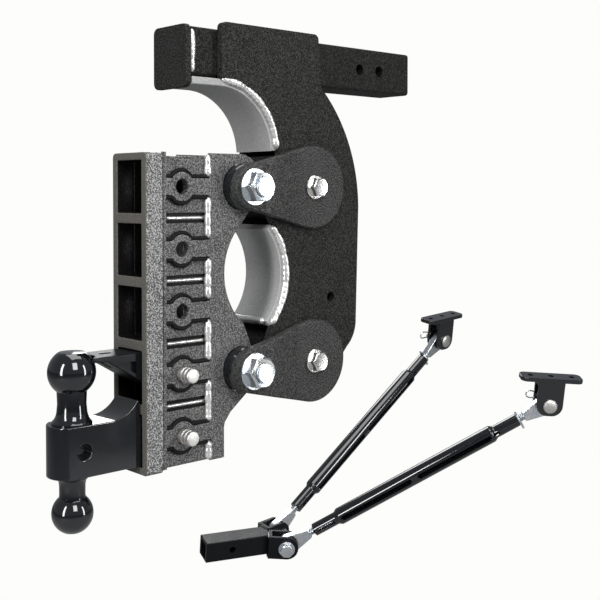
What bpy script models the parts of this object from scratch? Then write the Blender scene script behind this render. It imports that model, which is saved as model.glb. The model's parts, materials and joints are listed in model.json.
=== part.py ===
"""Torsion-suspended drop hitch with a dual-ball mount, and its weight distribution arm kit.

Lengths are in metres, +Z is up and +X points to the towing vehicle. The origin is the middle of the
end face of the square shank, which slides into the vehicle's receiver. The hitch is drawn in a bench
frame whose X = 0 is the front face of the slotted receiver and whose Z = 0 is the foot of its lowest
slot. The arm kit lies behind and below the hitch, in a frame of its own.
"""
import math

import bmesh
import bpy
from mathutils import Matrix, Vector

MM = 0.001
GAP = 0.3 * MM
ROUND = 18
FINE = 24

# Shank, a 2.5 in square bar
SHANK = 63.5 * MM
SHANK_END = (494 * MM, 0, 536 * MM)
SHANK_START = 72 * MM
SHANK_PIN_HOLES = (386 * MM, 428 * MM)
SHANK_PIN_RADIUS = 8.2 * MM
CAP_THICK = 8.4 * MM

# C-shaped frame
PLATE = 12.7 * MM
PLATE_IN = SHANK / 2 + GAP
PLATE_OUT = PLATE_IN + PLATE
PLATE_LEFT = 116 * MM
PLATE_TOP = 576.5 * MM
WALL = 9.7 * MM
WALL_HALF = 38 * MM
WALL_GAP = 0.9 * MM
NOSE_X = 196 * MM
UPPER_ARC = (118 * MM, 405 * MM, 98 * MM)
LOWER_ARC = (132 * MM, 240 * MM, 101 * MM)
BACK_ARC = (138.4 * MM, 330 * MM, 232.6 * MM)
BACK_FOOT = (366 * MM, 165 * MM)

# Torsion parallelogram
UPPER_Z = 360 * MM
LOWER_Z = 116 * MM
FRAME_PIVOT_X = 270 * MM
ARM_LENGTH = 118 * MM
CARRIER_PIVOT_X = FRAME_PIVOT_X - ARM_LENGTH
HOUSING_BORE = 38 * MM
HOUSING_HALF = 44 * MM
SHAFT_RADIUS = 20 * MM
ARM_BOSS = 30 * MM
ARM_DISC = 58 * MM
ARM_FRAME_Y = (45.3 * MM, 57.5 * MM)
ARM_CARRIER_Y = (51.7 * MM, 66 * MM)
SLEEVE_HALF = 51.4 * MM
BOLT_RADIUS = 12.7 * MM
SMALL_BOLT_RADIUS = 8 * MM

# Slotted receiver that the ball mount pins into
SLOTS = 5
PITCH = 80 * MM
SLOT_WIDE = 54 * MM
SLOT_TALL = 66.6 * MM
COLLAR_DEEP = 26 * MM
COLLAR_HALF = 38.1 * MM
BOX_HALF = 32.4 * MM
BOX_BACK = 104 * MM
PIN_X = 56 * MM
PIN_RADIUS = 9.5 * MM
PIN_HOLE = 9.9 * MM
WINDOW_X = (31 * MM, 100 * MM)
WINDOW_EDGE = 11 * MM
PIN_BOSS = 19 * MM
LADDER_TOP = 404 * MM
BEYOND = 20 * MM

# Ball mount
BALL_X = -83 * MM
BODY_HALF = 25.4 * MM
BODY_Z = (8.3 * MM, 71.7 * MM)
NOSE_RADIUS = 31 * MM
TOP_BALL = 58.74 * MM / 2
BOTTOM_BALL = 50.8 * MM / 2
TOP_BALL_Z = 134 * MM
BOTTOM_BALL_Z = -38.5 * MM

# Arm kit: where it lies, its V and its turnbuckles
KIT_PLACE = (905.5 * MM, 869.5 * MM, -522.6 * MM)
KIT_YAW = math.radians(-19.5)
KIT_ROLL = math.radians(10)
V_ANGLE = math.radians(21.3)
ARM_PITCH = math.radians(33.75)
KIT_ARM = 740 * MM
INSERT = 50.8 * MM
INSERT_WALL = 6.4 * MM
INSERT_START = -110 * MM
CLEVIS_BACK = 58 * MM
CLEVIS_PIVOT = 104 * MM
EAR_IN = 13 * MM
EAR_OUT = 20.5 * MM
EAR_RADIUS = 29 * MM
EYE_RADIUS = 26 * MM
EYE_HALF = 9 * MM
STUD_RADIUS = 9.5 * MM
STUD_BORE = 10 * MM
TUBE_FROM = 80 * MM
TUBE_TO = 656 * MM
KIT_BOLT = 9.5 * MM
BRACKET_TOP = 70 * MM


def clear_scene():
    """Remove every object, so that the part stands alone."""
    for item in list(bpy.data.objects):
        bpy.data.objects.remove(item)


def make_material(name, colour, roughness, metallic):
    """Make a Principled BSDF material."""
    material = bpy.data.materials.new(name)
    material.use_nodes = True
    shader = material.node_tree.nodes["Principled BSDF"]
    shader.inputs["Base Color"].default_value = (*colour, 1.0)
    shader.inputs["Roughness"].default_value = roughness
    shader.inputs["Metallic"].default_value = metallic
    return material


def make_empty(name, parent, location, rotation=None):
    """Make a frame that pieces hang from; rotation is a 3x3 matrix."""
    empty = bpy.data.objects.new(name, None)
    bpy.context.scene.collection.objects.link(empty)
    empty.parent = parent
    empty.location = location
    if rotation is not None:
        empty.rotation_euler = rotation.to_euler()
    return empty


def add_piece(name, mesh, material, frame, hidden=False):
    """Turn a bmesh drawn in a frame's coordinates into an object of that frame."""
    bmesh.ops.recalc_face_normals(mesh, faces=mesh.faces)
    data = bpy.data.meshes.new(name)
    mesh.to_mesh(data)
    mesh.free()
    item = bpy.data.objects.new(name, data)
    bpy.context.scene.collection.objects.link(item)
    item.parent = frame
    if material:
        data.materials.append(material)
    if hidden:
        item.hide_render = True
        item.display_type = "WIRE"
    else:
        data.shade_smooth()
        data.set_sharp_from_angle(angle=math.radians(32))
    return item


def soften(item, width, segments=2, angle=40):
    """Bevel the sharp edges of an item."""
    bevel = item.modifiers.new("edges", "BEVEL")
    bevel.width = width
    bevel.segments = segments
    bevel.limit_method = "ANGLE"
    bevel.angle_limit = math.radians(angle)


def combine(item, tool, frame, operation="DIFFERENCE"):
    """Cut, join or intersect an item with a hidden tool solid."""
    index = len(item.modifiers)
    guide = add_piece(f"{item.name}_tool_{index}", tool, None, frame, hidden=True)
    boolean = item.modifiers.new(f"{operation.lower()}_{index}", "BOOLEAN")
    boolean.operation = operation
    boolean.object = guide


def to_world(axis, a, b, depth):
    """Place outline coordinates (a, b) and a depth in space; axis is the extrusion axis."""
    return {"x": (depth, a, b), "y": (a, depth, b), "z": (a, b, depth)}[axis]


def prism(outline, low, high, axis="y"):
    """Extrude a closed outline from low to high along an axis."""
    mesh = bmesh.new()
    verts = [mesh.verts.new(to_world(axis, a, b, low)) for a, b in outline]
    face = mesh.faces.new(verts)
    lifted = bmesh.ops.extrude_face_region(mesh, geom=[face])
    moved = [v for v in lifted["geom"] if isinstance(v, bmesh.types.BMVert)]
    bmesh.ops.translate(mesh, verts=moved, vec=to_world(axis, 0, 0, high - low))
    return mesh


def block(x_range, y_range, z_range):
    """A rectangular block."""
    (x0, x1), (z0, z1) = x_range, z_range
    return prism([(x0, z0), (x1, z0), (x1, z1), (x0, z1)], *y_range)


def arc(centre_a, centre_b, radius, start, stop, steps):
    """Points along an arc, angles in degrees."""
    turn = [math.radians(start + (stop - start) * i / steps) for i in range(steps + 1)]
    return [(centre_a + radius * math.cos(t), centre_b + radius * math.sin(t)) for t in turn]


def rounded(a_range, b_range, radius, steps=4):
    """Outline of a rectangle with round corners."""
    (a0, a1), (b0, b1) = a_range, b_range
    corners = [(a1, b1, 0), (a0, b1, 90), (a0, b0, 180), (a1, b0, 270)]
    points = []
    for a, b, start in corners:
        inset_a = a - radius if a == a1 else a + radius
        inset_b = b - radius if b == b1 else b + radius
        points += arc(inset_a, inset_b, radius, start, start + 90, steps)
    return points


def round_hole(centre, radius, low, high, axis="y", segments=14):
    """A faceted bar whose flats touch the given radius, for cutting round holes."""
    corner = radius / math.cos(math.pi / segments)
    circle = arc(*centre, corner, 0, 360 - 360 / segments, segments - 1)
    return prism(circle, low, high, axis)


def hex_radius(across_flats, turn):
    """Distance from the middle of a hexagon to its side at an angle."""
    step = math.radians(60)
    return across_flats / 2 / math.cos((turn % step) - step / 2)


def turned(profile, axis="y", centre=(0, 0), closed=False, segments=ROUND):
    """Turn a profile round an axis.

    Each profile point is (distance along the axis, radius) or, on a hexagon, (distance, width across
    flats, "hex"). An open profile starts and ends on the axis, and a closed one is a ring's section.
    """
    mesh = bmesh.new()
    rings = []
    for point in profile:
        if point[1] == 0:
            rings.append([mesh.verts.new(to_world(axis, *centre, point[0]))] * segments)
            continue
        ring = []
        for i in range(segments):
            turn = 2 * math.pi * i / segments
            radius = hex_radius(point[1], turn) if len(point) == 3 else point[1]
            a = centre[0] + radius * math.cos(turn)
            b = centre[1] + radius * math.sin(turn)
            ring.append(mesh.verts.new(to_world(axis, a, b, point[0])))
        rings.append(ring)
    pairs = list(zip(rings, rings[1:]))
    if closed:
        pairs.append((rings[-1], rings[0]))
    for first, second in pairs:
        for i in range(segments):
            j = (i + 1) % segments
            corners = [first[i], first[j], second[j], second[i]]
            mesh.faces.new(list(dict.fromkeys(corners)))
    return mesh


def sphere_profile(centre, radius, low, high, steps):
    """Profile of a ball between two heights."""
    start = math.asin(max(-1, (low - centre) / radius))
    stop = math.asin(min(1, (high - centre) / radius))
    turns = [start + (stop - start) * i / steps for i in range(steps + 1)]
    return [(centre + radius * math.sin(t), radius * math.cos(t)) for t in turns]


# ---------------------------------------------------------------- hitch: frame

def side_plate_outline():
    """Outline of a side plate of the C-shaped frame, in X and Z."""
    corner = 8 * MM
    top_right = 290 * MM
    foot_x, foot_z = BACK_FOOT
    outline = arc(PLATE_LEFT + corner, PLATE_TOP - corner, corner, 180, 90, 3)
    outline += arc(top_right - corner, PLATE_TOP - corner, corner, 90, 10, 3)
    outline += arc(*BACK_ARC, 47.7, 0, 9)
    outline += arc(foot_x - 48 * MM, foot_z, 48 * MM, 0, -52, 5)
    outline += arc(FRAME_PIVOT_X, LOWER_Z, 50 * MM, -40, -90, 5)
    outline += arc(NOSE_X + 24 * MM, LOWER_Z - 20 * MM, 24 * MM, -90, -180, 4)
    outline += [(NOSE_X, 152 * MM)]
    outline += arc(*LOWER_ARC, -45.5, 43.9, 9)
    outline += [(NOSE_X, 324 * MM), (NOSE_X, 394 * MM)]
    outline += arc(*UPPER_ARC, -1.8, 91.2, 9)
    return outline


def strip_outline(arc_spec, outer, start, stop, steps):
    """Outline of a curved strip whose outer face lies on the given radius."""
    a, b, _ = arc_spec
    return arc(a, b, outer, start, stop, steps) + arc(a, b, outer - WALL, stop, start, steps)


def build_shank(frame, paint):
    """The square bar, its end cap and the holes for the receiver pins."""
    half = SHANK / 2
    end_x, _, mid_z = SHANK_END
    section = rounded((-half, half), (mid_z - half, mid_z + half), 5 * MM, 3)
    shank = add_piece("shank", prism(section, SHANK_START, end_x, "x"), paint, frame)
    for hole_x in SHANK_PIN_HOLES:
        tool = round_hole((hole_x, mid_z), SHANK_PIN_RADIUS, -half - 5 * MM, half + 5 * MM)
        combine(shank, tool, frame)
    section = rounded((-half - 5 * MM, half + 5 * MM), (488 * MM, mid_z + half + 2 * MM), 9 * MM)
    back = SHANK_START - GAP
    cap = add_piece("shank_end_cap", prism(section, back - CAP_THICK, back, "x"), paint, frame)
    soften(cap, 1.5 * MM, 1)


def build_side_plate(frame, paint, side, name):
    """One plate of the C, with the shaft holes and the small hole in its back."""
    low, high = sorted((side * PLATE_IN, side * PLATE_OUT))
    plate = add_piece(name, prism(side_plate_outline(), low, high), paint, frame)
    soften(plate, 1.6 * MM, 1, 50)
    over = 5 * MM
    for height in (UPPER_Z, LOWER_Z):
        tool = round_hole((FRAME_PIVOT_X, height), SHAFT_RADIUS + 0.4 * MM, low - over, high + over)
        combine(plate, tool, frame)
    combine(plate, round_hole((314 * MM, 202 * MM), 7 * MM, low - over, high + over), frame)


def build_walls(frame, paint):
    """The two curved walls inside the C and the strip that closes its back."""
    a, b, radius = UPPER_ARC
    outer = radius - WALL_GAP
    outline = strip_outline(UPPER_ARC, outer, 3, 90, 10)
    bend = len(outline) // 2
    tail = [(SHANK_START + GAP, b + outer), (SHANK_START + GAP, b + outer - WALL)]
    upper = prism(outline[:bend] + tail + outline[bend:], -WALL_HALF, WALL_HALF)
    soften(add_piece("upper_curved_wall", upper, paint, frame), 1.2 * MM, 1, 50)
    outline = strip_outline(LOWER_ARC, LOWER_ARC[2] - WALL_GAP, -45, 43, 10)
    lower = prism(outline, -WALL_HALF, WALL_HALF)
    soften(add_piece("lower_curved_wall", lower, paint, frame), 1.2 * MM, 1, 50)
    outer = BACK_ARC[2] - 1.5 * MM
    foot_x, foot_z = BACK_FOOT
    inside = arc(*BACK_ARC[:2], outer - WALL, 46, 0, 10) + [(foot_x - WALL - 3 * MM, foot_z)]
    outside = [(foot_x - 3 * MM, foot_z)] + arc(*BACK_ARC[:2], outer, 0, 46, 10)
    half = SHANK / 2
    add_piece("back_strip", prism(inside + outside, -half, half), paint, frame)


def build_torsion(frame, paint, rubber, height, name):
    """A torsion housing welded between the plates, with its bonded rubber."""
    half = SHANK / 2
    section = rounded((NOSE_X + 2 * MM, FRAME_PIVOT_X + 46 * MM),
                      (height - HOUSING_HALF, height + HOUSING_HALF), 20 * MM)
    housing = add_piece(f"{name}_torsion_housing", prism(section, -half, half), paint, frame)
    centre = (FRAME_PIVOT_X, height)
    combine(housing, round_hole(centre, HOUSING_BORE, -half - GAP, half + GAP, segments=FINE), frame)
    inner = SHAFT_RADIUS + 0.8 * MM
    outer = HOUSING_BORE - 0.35 * MM
    ends = half - 2 * MM
    section = [(-ends, inner), (-ends, outer), (ends, outer), (ends, inner)]
    add_piece(f"{name}_torsion_rubber", turned(section, centre=centre, closed=True), rubber, frame)


# ------------------------------------------------- hitch: arms, shafts and pivots

def arm_outline():
    """Outline of a suspension arm round its frame pivot, in X and Z."""
    slope = math.degrees(math.asin((ARM_DISC - ARM_BOSS) / ARM_LENGTH))
    right = arc(0, 0, ARM_DISC, -90 - slope, 90 + slope, 14)
    left = arc(-ARM_LENGTH, 0, ARM_BOSS, 90 + slope, 270 - slope, 8)
    return right + left


def arm_mesh(side):
    """A forged arm: flat at both ends, its web set outwards towards the carrier bolt."""
    mesh = prism(arm_outline(), ARM_FRAME_Y[0], ARM_FRAME_Y[1])
    steps = [-ARM_LENGTH + 34 * MM, -26 * MM]
    for cut in steps:
        bmesh.ops.bisect_plane(mesh, geom=mesh.verts[:] + mesh.edges[:] + mesh.faces[:],
                               plane_co=(cut, 0, 0), plane_no=(1, 0, 0))
    middle = sum(ARM_FRAME_Y) / 2
    for vert in mesh.verts:
        share = min(1.0, max(0.0, (steps[1] - vert.co.x) / (steps[1] - steps[0])))
        face = 0 if vert.co.y < middle else 1
        vert.co.y += share * (ARM_CARRIER_Y[face] - ARM_FRAME_Y[face])
    bmesh.ops.scale(mesh, vec=(1, side, 1), verts=mesh.verts)
    return mesh


def build_arm_pair(frame, materials, name, height):
    """Two arms, the torsion shaft between them and the flange bolts that hold them on it."""
    paint, zinc = materials["paint"], materials["zinc"]
    shaft_end = PLATE_OUT + GAP
    pivot = make_empty(f"{name}_arm_pivot", frame, (FRAME_PIVOT_X, 0, height))
    core = [(-shaft_end, 0), (-shaft_end, SHAFT_RADIUS), (shaft_end, SHAFT_RADIUS), (shaft_end, 0)]
    shaft = add_piece(f"{name}_torsion_shaft", turned(core), materials["steel"], pivot)
    for side, word in ((-1, "near"), (1, "far")):
        arm = add_piece(f"{name}_{word}_arm", arm_mesh(side), paint, pivot)
        soften(arm, 2.4 * MM, 1, 50)
        reach = sorted((side * 40 * MM, side * 80 * MM))
        combine(arm, round_hole((0, 0), SMALL_BOLT_RADIUS + GAP, *reach), pivot)
        combine(arm, round_hole((-ARM_LENGTH, 0), BOLT_RADIUS + GAP, *reach), pivot)
        depth = sorted((side * (shaft_end - 26 * MM), side * 60 * MM))
        combine(shaft, round_hole((0, 0), SMALL_BOLT_RADIUS + GAP, *depth), pivot)
        face = ARM_FRAME_Y[1] + GAP
        profile = [(shaft_end - 24 * MM, 0), (shaft_end - 24 * MM, SMALL_BOLT_RADIUS),
                   (face, SMALL_BOLT_RADIUS), (face, 16.8 * MM), (face + 2.5 * MM, 16.2 * MM),
                   (face + 3.5 * MM, 25 * MM, "hex"), (face + 12 * MM, 25 * MM, "hex"),
                   (face + 13.2 * MM, 11.4 * MM), (face + 13.2 * MM, 0)]
        bolt = turned([(side * point[0], *point[1:]) for point in profile])
        add_piece(f"{name}_{word}_arm_bolt", bolt, zinc, pivot)


def build_carrier_pivot(frame, materials, name, height):
    """A pivot sleeve through the side ladders, with its through bolt and nut."""
    zinc = materials["zinc"]
    centre = (CARRIER_PIVOT_X, height)
    bore = BOLT_RADIUS + GAP
    ring = [(-SLEEVE_HALF, bore), (-SLEEVE_HALF, ARM_BOSS), (SLEEVE_HALF, ARM_BOSS), (SLEEVE_HALF, bore)]
    sleeve = turned(ring, centre=centre, closed=True, segments=FINE)
    add_piece(f"{name}_pivot_sleeve", sleeve, materials["gloss"], frame)
    seat = ARM_CARRIER_Y[1] + GAP
    washer = 24.5 * MM
    flats = 38 * MM
    bolt = [(-90 * MM, 0), (-90 * MM, 11 * MM), (-88 * MM, BOLT_RADIUS), (seat, BOLT_RADIUS),
            (seat, washer), (seat + 3 * MM, washer), (seat + 3 * MM, flats, "hex"),
            (seat + 18 * MM, flats, "hex"), (seat + 19.5 * MM, 17.5 * MM), (seat + 19.5 * MM, 0)]
    add_piece(f"{name}_pivot_bolt", turned(bolt, centre=centre), zinc, frame)
    nut = [(-seat, bore), (-seat, washer), (-seat - 3 * MM, washer), (-seat - 3 * MM, flats, "hex"),
           (-seat - 18.5 * MM, flats, "hex"), (-seat - 20 * MM, 17.5 * MM), (-seat - 20 * MM, bore)]
    add_piece(f"{name}_pivot_nut", turned(nut, centre=centre, closed=True), zinc, frame)


# ------------------------------------------------------------ hitch: receiver

def pin_height(index):
    """Height of a pin hole, counted from the lowest slot."""
    return PITCH * (index + 0.5)


def cut_slots(item, frame, low_x, high_x):
    """Cut the row of slots through an item, from front to back."""
    half = SLOT_WIDE / 2
    for index in range(SLOTS):
        middle = pin_height(index)
        tall = (middle - SLOT_TALL / 2, middle + SLOT_TALL / 2)
        combine(item, block((low_x, high_x), (-half, half), tall), frame)


def boss_edge(height, direction):
    """Edge of a window where it steps round a pin boss, left to right."""
    reach = math.degrees(math.asin(WINDOW_EDGE / PIN_BOSS))
    bump = arc(PIN_X, height, PIN_BOSS, 180 - reach, reach, 3)
    edge = [(WINDOW_X[0], height + WINDOW_EDGE)] + bump + [(WINDOW_X[1], height + WINDOW_EDGE)]
    if direction < 0:
        edge = [(x, 2 * height - z) for x, z in edge]
    return edge


def window_outline(index):
    """Outline of a ladder window, from the open foot (0) to the open top (SLOTS)."""
    left, right = WINDOW_X
    lower = [(left, -BEYOND), (right, -BEYOND)]
    upper = [(left, LADDER_TOP + BEYOND), (right, LADDER_TOP + BEYOND)]
    if index > 0:
        lower = boss_edge(pin_height(index - 1), 1)
    if index < SLOTS:
        upper = boss_edge(pin_height(index), -1)
    return lower + upper[::-1]


def ladder_outline():
    """Outline of a side ladder, in X and Z."""
    start = COLLAR_DEEP + GAP
    boss = 34 * MM
    outline = [(start, LADDER_TOP)]
    outline += arc(CARRIER_PIVOT_X, LADDER_TOP - boss, boss, 90, 0, 6)
    outline += arc(CARRIER_PIVOT_X, UPPER_Z, boss, -8, -58, 4)
    outline += arc(212 * MM, 245 * MM, 88 * MM, 135, 231, 8)
    outline += arc(CARRIER_PIVOT_X, LOWER_Z, boss, 58, -66, 6)
    outline += [(134 * MM, 60 * MM)]
    outline += arc(141 * MM, 40 * MM, 18 * MM, 150, 180, 2)
    outline += [(123 * MM, 1 * MM), (start, 1 * MM)]
    return outline


def build_receiver(frame, materials):
    """The slotted receiver: front collar, box of slots and the ladder on each side."""
    paint = materials["paint"]
    section = rounded((-COLLAR_HALF, COLLAR_HALF), (-3 * MM, 403 * MM), 6 * MM, 3)
    collar = add_piece("receiver_collar", prism(section, 0, COLLAR_DEEP, "x"), paint, frame)
    soften(collar, 1.5 * MM, 1, 50)
    cut_slots(collar, frame, -5 * MM, COLLAR_DEEP + 5 * MM)
    box_front = COLLAR_DEEP + GAP
    section = rounded((-BOX_HALF, BOX_HALF), (1 * MM, 399 * MM), 3 * MM, 2)
    box = add_piece("receiver_box", prism(section, box_front, BOX_BACK, "x"), paint, frame)
    cut_slots(box, frame, COLLAR_DEEP - 5 * MM, BOX_BACK + 5 * MM)
    for index in range(SLOTS):
        centre = (PIN_X, pin_height(index))
        combine(box, round_hole(centre, PIN_HOLE, -BOX_HALF - 5 * MM, BOX_HALF + 5 * MM), frame)
    for side, word in ((-1, "near"), (1, "far")):
        low, high = sorted((side * (BOX_HALF + GAP), side * COLLAR_HALF))
        ladder = add_piece(f"{word}_side_ladder", prism(ladder_outline(), low, high), paint, frame)
        over = 5 * MM
        for index in range(SLOTS + 1):
            combine(ladder, prism(window_outline(index), low - over, high + over), frame)
        for index in range(SLOTS):
            centre = (PIN_X, pin_height(index))
            combine(ladder, round_hole(centre, PIN_HOLE, low - over, high + over), frame)
        for height in (UPPER_Z, LOWER_Z):
            centre = (CARRIER_PIVOT_X, height)
            tool = round_hole(centre, ARM_BOSS + GAP, low - over, high + over, segments=FINE)
            combine(ladder, tool, frame)


def build_ball_mount(frame, materials):
    """The dual-ball mount in the lowest slot."""
    gloss = materials["gloss"]
    low, high = BODY_Z
    nose = BALL_X - NOSE_RADIUS
    rise = 43 * MM
    shoulder = arc(-42 * MM, high + rise, rise, -90, -31, 8)
    outline = [(nose - 5 * MM, low), (100 * MM, low), (100 * MM, high), (-1.5 * MM, high)]
    outline += [(-1.5 * MM, shoulder[-1][1])] + shoulder[::-1] + [(nose - 5 * MM, high)]
    body = add_piece("ball_mount_body", prism(outline, -40 * MM, 40 * MM), gloss, frame)
    flank = math.degrees(math.asin(BODY_HALF / NOSE_RADIUS))
    plan = arc(BALL_X, 0, NOSE_RADIUS, 180 - flank, 180 + flank, 10)
    plan += [(120 * MM, -BODY_HALF), (120 * MM, BODY_HALF)]
    combine(body, prism(plan, -20 * MM, 130 * MM, "z"), frame, "INTERSECT")
    soften(body, 1.2 * MM, 1, 60)
    for hole_x, radius in ((PIN_X, PIN_HOLE), (-80 * MM, 10 * MM)):
        combine(body, round_hole((hole_x, pin_height(0)), radius, -40 * MM, 40 * MM), frame)
    base = high + GAP
    flare = [(base, 25 * MM), (base + 5 * MM, 21.6 * MM), (base + 13 * MM, 18.8 * MM)]
    ball = sphere_profile(TOP_BALL_Z, TOP_BALL, TOP_BALL_Z - 23 * MM, TOP_BALL_Z + 24.6 * MM, 8)
    profile = [(base, 0)] + flare + [(base + 24 * MM, 17.6 * MM)] + ball + [(ball[-1][0], 0)]
    add_piece("upper_ball", turned(profile, "z", (BALL_X, 0), segments=ROUND), gloss, frame)
    foot = low - GAP
    ball = sphere_profile(BOTTOM_BALL_Z, BOTTOM_BALL, BOTTOM_BALL_Z - 23 * MM, -19 * MM, 7)
    profile = [(ball[0][0], 0)] + ball + [(-15 * MM, 15.8 * MM), (2 * MM, 16.8 * MM), (5 * MM, 19.5 * MM)]
    profile += [(foot, 19.5 * MM), (foot, 0)]
    add_piece("lower_ball", turned(profile, "z", (BALL_X, 0), segments=ROUND), gloss, frame)


def build_pintle_lock(frame, materials):
    """The lock in the second slot, whose tip closes over the upper ball."""
    top = 152 * MM
    outline = [(-68 * MM, 146 * MM), (-48 * MM, 145 * MM), (6 * MM, 113 * MM), (20 * MM, 105 * MM),
               (100 * MM, 105 * MM), (100 * MM, top), (-68 * MM, top)]
    lock = add_piece("pintle_lock", prism(outline, -BODY_HALF, BODY_HALF), materials["gloss"], frame)
    soften(lock, 1.2 * MM, 1, 50)
    combine(lock, round_hole((BALL_X, 0), 28.3 * MM, 100 * MM, 170 * MM, "z", FINE), frame)
    slot = rounded((-45 * MM, -27 * MM), (-4.5 * MM, 4.5 * MM), 4.4 * MM)
    combine(lock, prism(slot, 110 * MM, 170 * MM, "z"), frame)
    web = [(-34 * MM, 142 * MM), (-6 * MM, 125.5 * MM), (-6 * MM, 142 * MM)]
    for side in (-1, 1):
        reach = sorted((side * (BODY_HALF - 5 * MM), side * 40 * MM))
        combine(lock, prism(web, *reach), frame)
    combine(lock, round_hole((PIN_X, pin_height(1)), PIN_HOLE, -40 * MM, 40 * MM), frame)


def build_hitch_pin(frame, materials, index, name):
    """A removable pin: grooved end on one side, a round head on the other."""
    groove = 7.9 * MM
    head = COLLAR_HALF + 1 * MM
    profile = [(-61 * MM, 0), (-61 * MM, 8.3 * MM), (-59.8 * MM, PIN_RADIUS), (-56 * MM, PIN_RADIUS),
               (-54.8 * MM, groove), (-53.4 * MM, groove), (-52.2 * MM, PIN_RADIUS),
               (-48.6 * MM, PIN_RADIUS), (-47.4 * MM, groove), (-46 * MM, groove),
               (-44.8 * MM, PIN_RADIUS), (head, PIN_RADIUS), (head, 14 * MM), (head + 1 * MM, 15 * MM),
               (head + 6 * MM, 15 * MM), (head + 8 * MM, 13 * MM), (head + 8 * MM, 0)]
    pivot = make_empty(f"{name}_frame", frame, (PIN_X, 0, pin_height(index)))
    add_piece(name, turned(profile), materials["bright"], pivot)


# -------------------------------------------------------------------- arm kit

def build_insert(frame, materials):
    """The square insert that goes into the hitch, its front end pointed to take both clevises."""
    half = INSERT / 2
    apex = (CLEVIS_BACK - GAP) / math.cos(V_ANGLE)
    shoulder = (CLEVIS_BACK - GAP - half * math.sin(V_ANGLE)) / math.cos(V_ANGLE)
    plan = [(INSERT_START, -half), (shoulder, -half), (apex, 0), (shoulder, half), (INSERT_START, half)]
    tube = add_piece("kit_insert_tube", prism(plan, -half, half, "z"), materials["gloss"], frame)
    soften(tube, 2 * MM, 2, 60)
    inner = half - INSERT_WALL
    combine(tube, block((INSERT_START - 5 * MM, 34 * MM), (-inner, inner), (-inner, inner)), frame)
    combine(tube, round_hole((-42 * MM, 0), 8.2 * MM, -40 * MM, 40 * MM), frame)


def build_clevis(frame, materials, word, outward):
    """A U-shaped clevis with its bolt and nut; its frame's X runs along the arm's plan.

    outward is the sign of Y on the side away from the other clevis, where the bolt's head sits.
    """
    outline = [(CLEVIS_BACK, -EAR_RADIUS)]
    outline += arc(CLEVIS_PIVOT, 0, EAR_RADIUS, -90, 90, 8) + [(CLEVIS_BACK, EAR_RADIUS)]
    clevis = add_piece(f"{word}_clevis", prism(outline, -EAR_OUT, EAR_OUT), materials["gloss"], frame)
    soften(clevis, 1.2 * MM, 1, 50)
    inside = (CLEVIS_BACK + 8 * MM, CLEVIS_PIVOT + 2 * EAR_RADIUS)
    combine(clevis, block(inside, (-EAR_IN, EAR_IN), (-60 * MM, 60 * MM)), frame)
    combine(clevis, round_hole((CLEVIS_PIVOT, 0), KIT_BOLT + GAP, -40 * MM, 40 * MM), frame)
    seat = EAR_OUT + GAP
    bore = KIT_BOLT + GAP
    centre = (CLEVIS_PIVOT, 0)
    flats = 30 * MM
    bolt = [(seat + 15.5 * MM, 0), (seat + 15.5 * MM, 13.6 * MM), (seat + 14.3 * MM, flats, "hex"),
            (seat + 3 * MM, flats, "hex"), (seat + 3 * MM, 20.5 * MM), (seat, 20.5 * MM),
            (seat, KIT_BOLT), (-31 * MM, KIT_BOLT), (-32 * MM, 8.4 * MM), (-32 * MM, 0)]
    bolt = [(outward * point[0], *point[1:]) for point in bolt]
    add_piece(f"{word}_clevis_bolt", turned(bolt, centre=centre), materials["zinc"], frame)
    nut = [(seat, bore), (seat, flats, "hex"), (seat + 7.5 * MM, flats, "hex"),
           (seat + 8.7 * MM, 13.6 * MM), (seat + 8.7 * MM, bore)]
    nut = [(-outward * point[0], *point[1:]) for point in nut]
    add_piece(f"{word}_clevis_nut", turned(nut, centre=centre, closed=True), materials["zinc"], frame)


def rod_end(name, frame, materials, bore, toward):
    """A forged eye with a tapered web and a round stud; toward is +1 or -1 along X."""
    neck = 12 * MM
    neck_x = 64 * MM
    lean = math.degrees(math.asin((EYE_RADIUS - neck) / neck_x))
    outline = arc(0, 0, EYE_RADIUS, 90 - lean, 270 + lean, 12)
    outline += [(neck_x, -neck), (neck_x + 4 * MM, -neck + 3 * MM), (neck_x + 4 * MM, neck - 3 * MM)]
    outline += [(neck_x, neck)]
    eye = prism([(toward * x, z) for x, z in outline], -EYE_HALF, EYE_HALF)
    end = add_piece(name, eye, materials["zinc"], frame)
    soften(end, 1.5 * MM, 1, 50)
    low, high = sorted((toward * 56 * MM, toward * 142 * MM))
    profile = [(low, 0), (low, STUD_RADIUS), (high, STUD_RADIUS), (high, 0)]
    combine(end, turned(profile, "x"), frame, "UNION")
    combine(end, round_hole((0, 0), bore, -30 * MM, 30 * MM), frame)


def build_turnbuckle_body(frame, materials, name):
    """The tube between the two studs: slim ends, a wide middle and long slots through it."""
    slim, wide = 15.6 * MM, 21 * MM
    lower, upper = TUBE_FROM + 62 * MM, TUBE_TO - 62 * MM
    shift = 12 * MM
    outside = [(TUBE_FROM, slim), (lower, slim), (lower + shift, wide), (upper - shift, wide),
               (upper, slim), (TUBE_TO, slim)]
    inside = [(TUBE_TO, STUD_BORE), (upper, STUD_BORE), (upper - shift, 15 * MM),
              (lower + shift, 15 * MM), (lower, STUD_BORE), (TUBE_FROM, STUD_BORE)]
    body = add_piece(name, turned(outside + inside, "x", closed=True, segments=16), materials["gloss"], frame)
    slots = [((92 * MM, 138 * MM), 4.4 * MM), ((156 * MM, 356 * MM), 6.2 * MM),
             ((372 * MM, 580 * MM), 6.2 * MM), ((585 * MM, 603 * MM), 6.2 * MM)]
    for (start, stop), half in slots:
        outline = rounded((start, stop), (-half, half), half - 0.1 * MM, 2)
        combine(body, prism(outline, -30 * MM, 30 * MM), frame)


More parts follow.
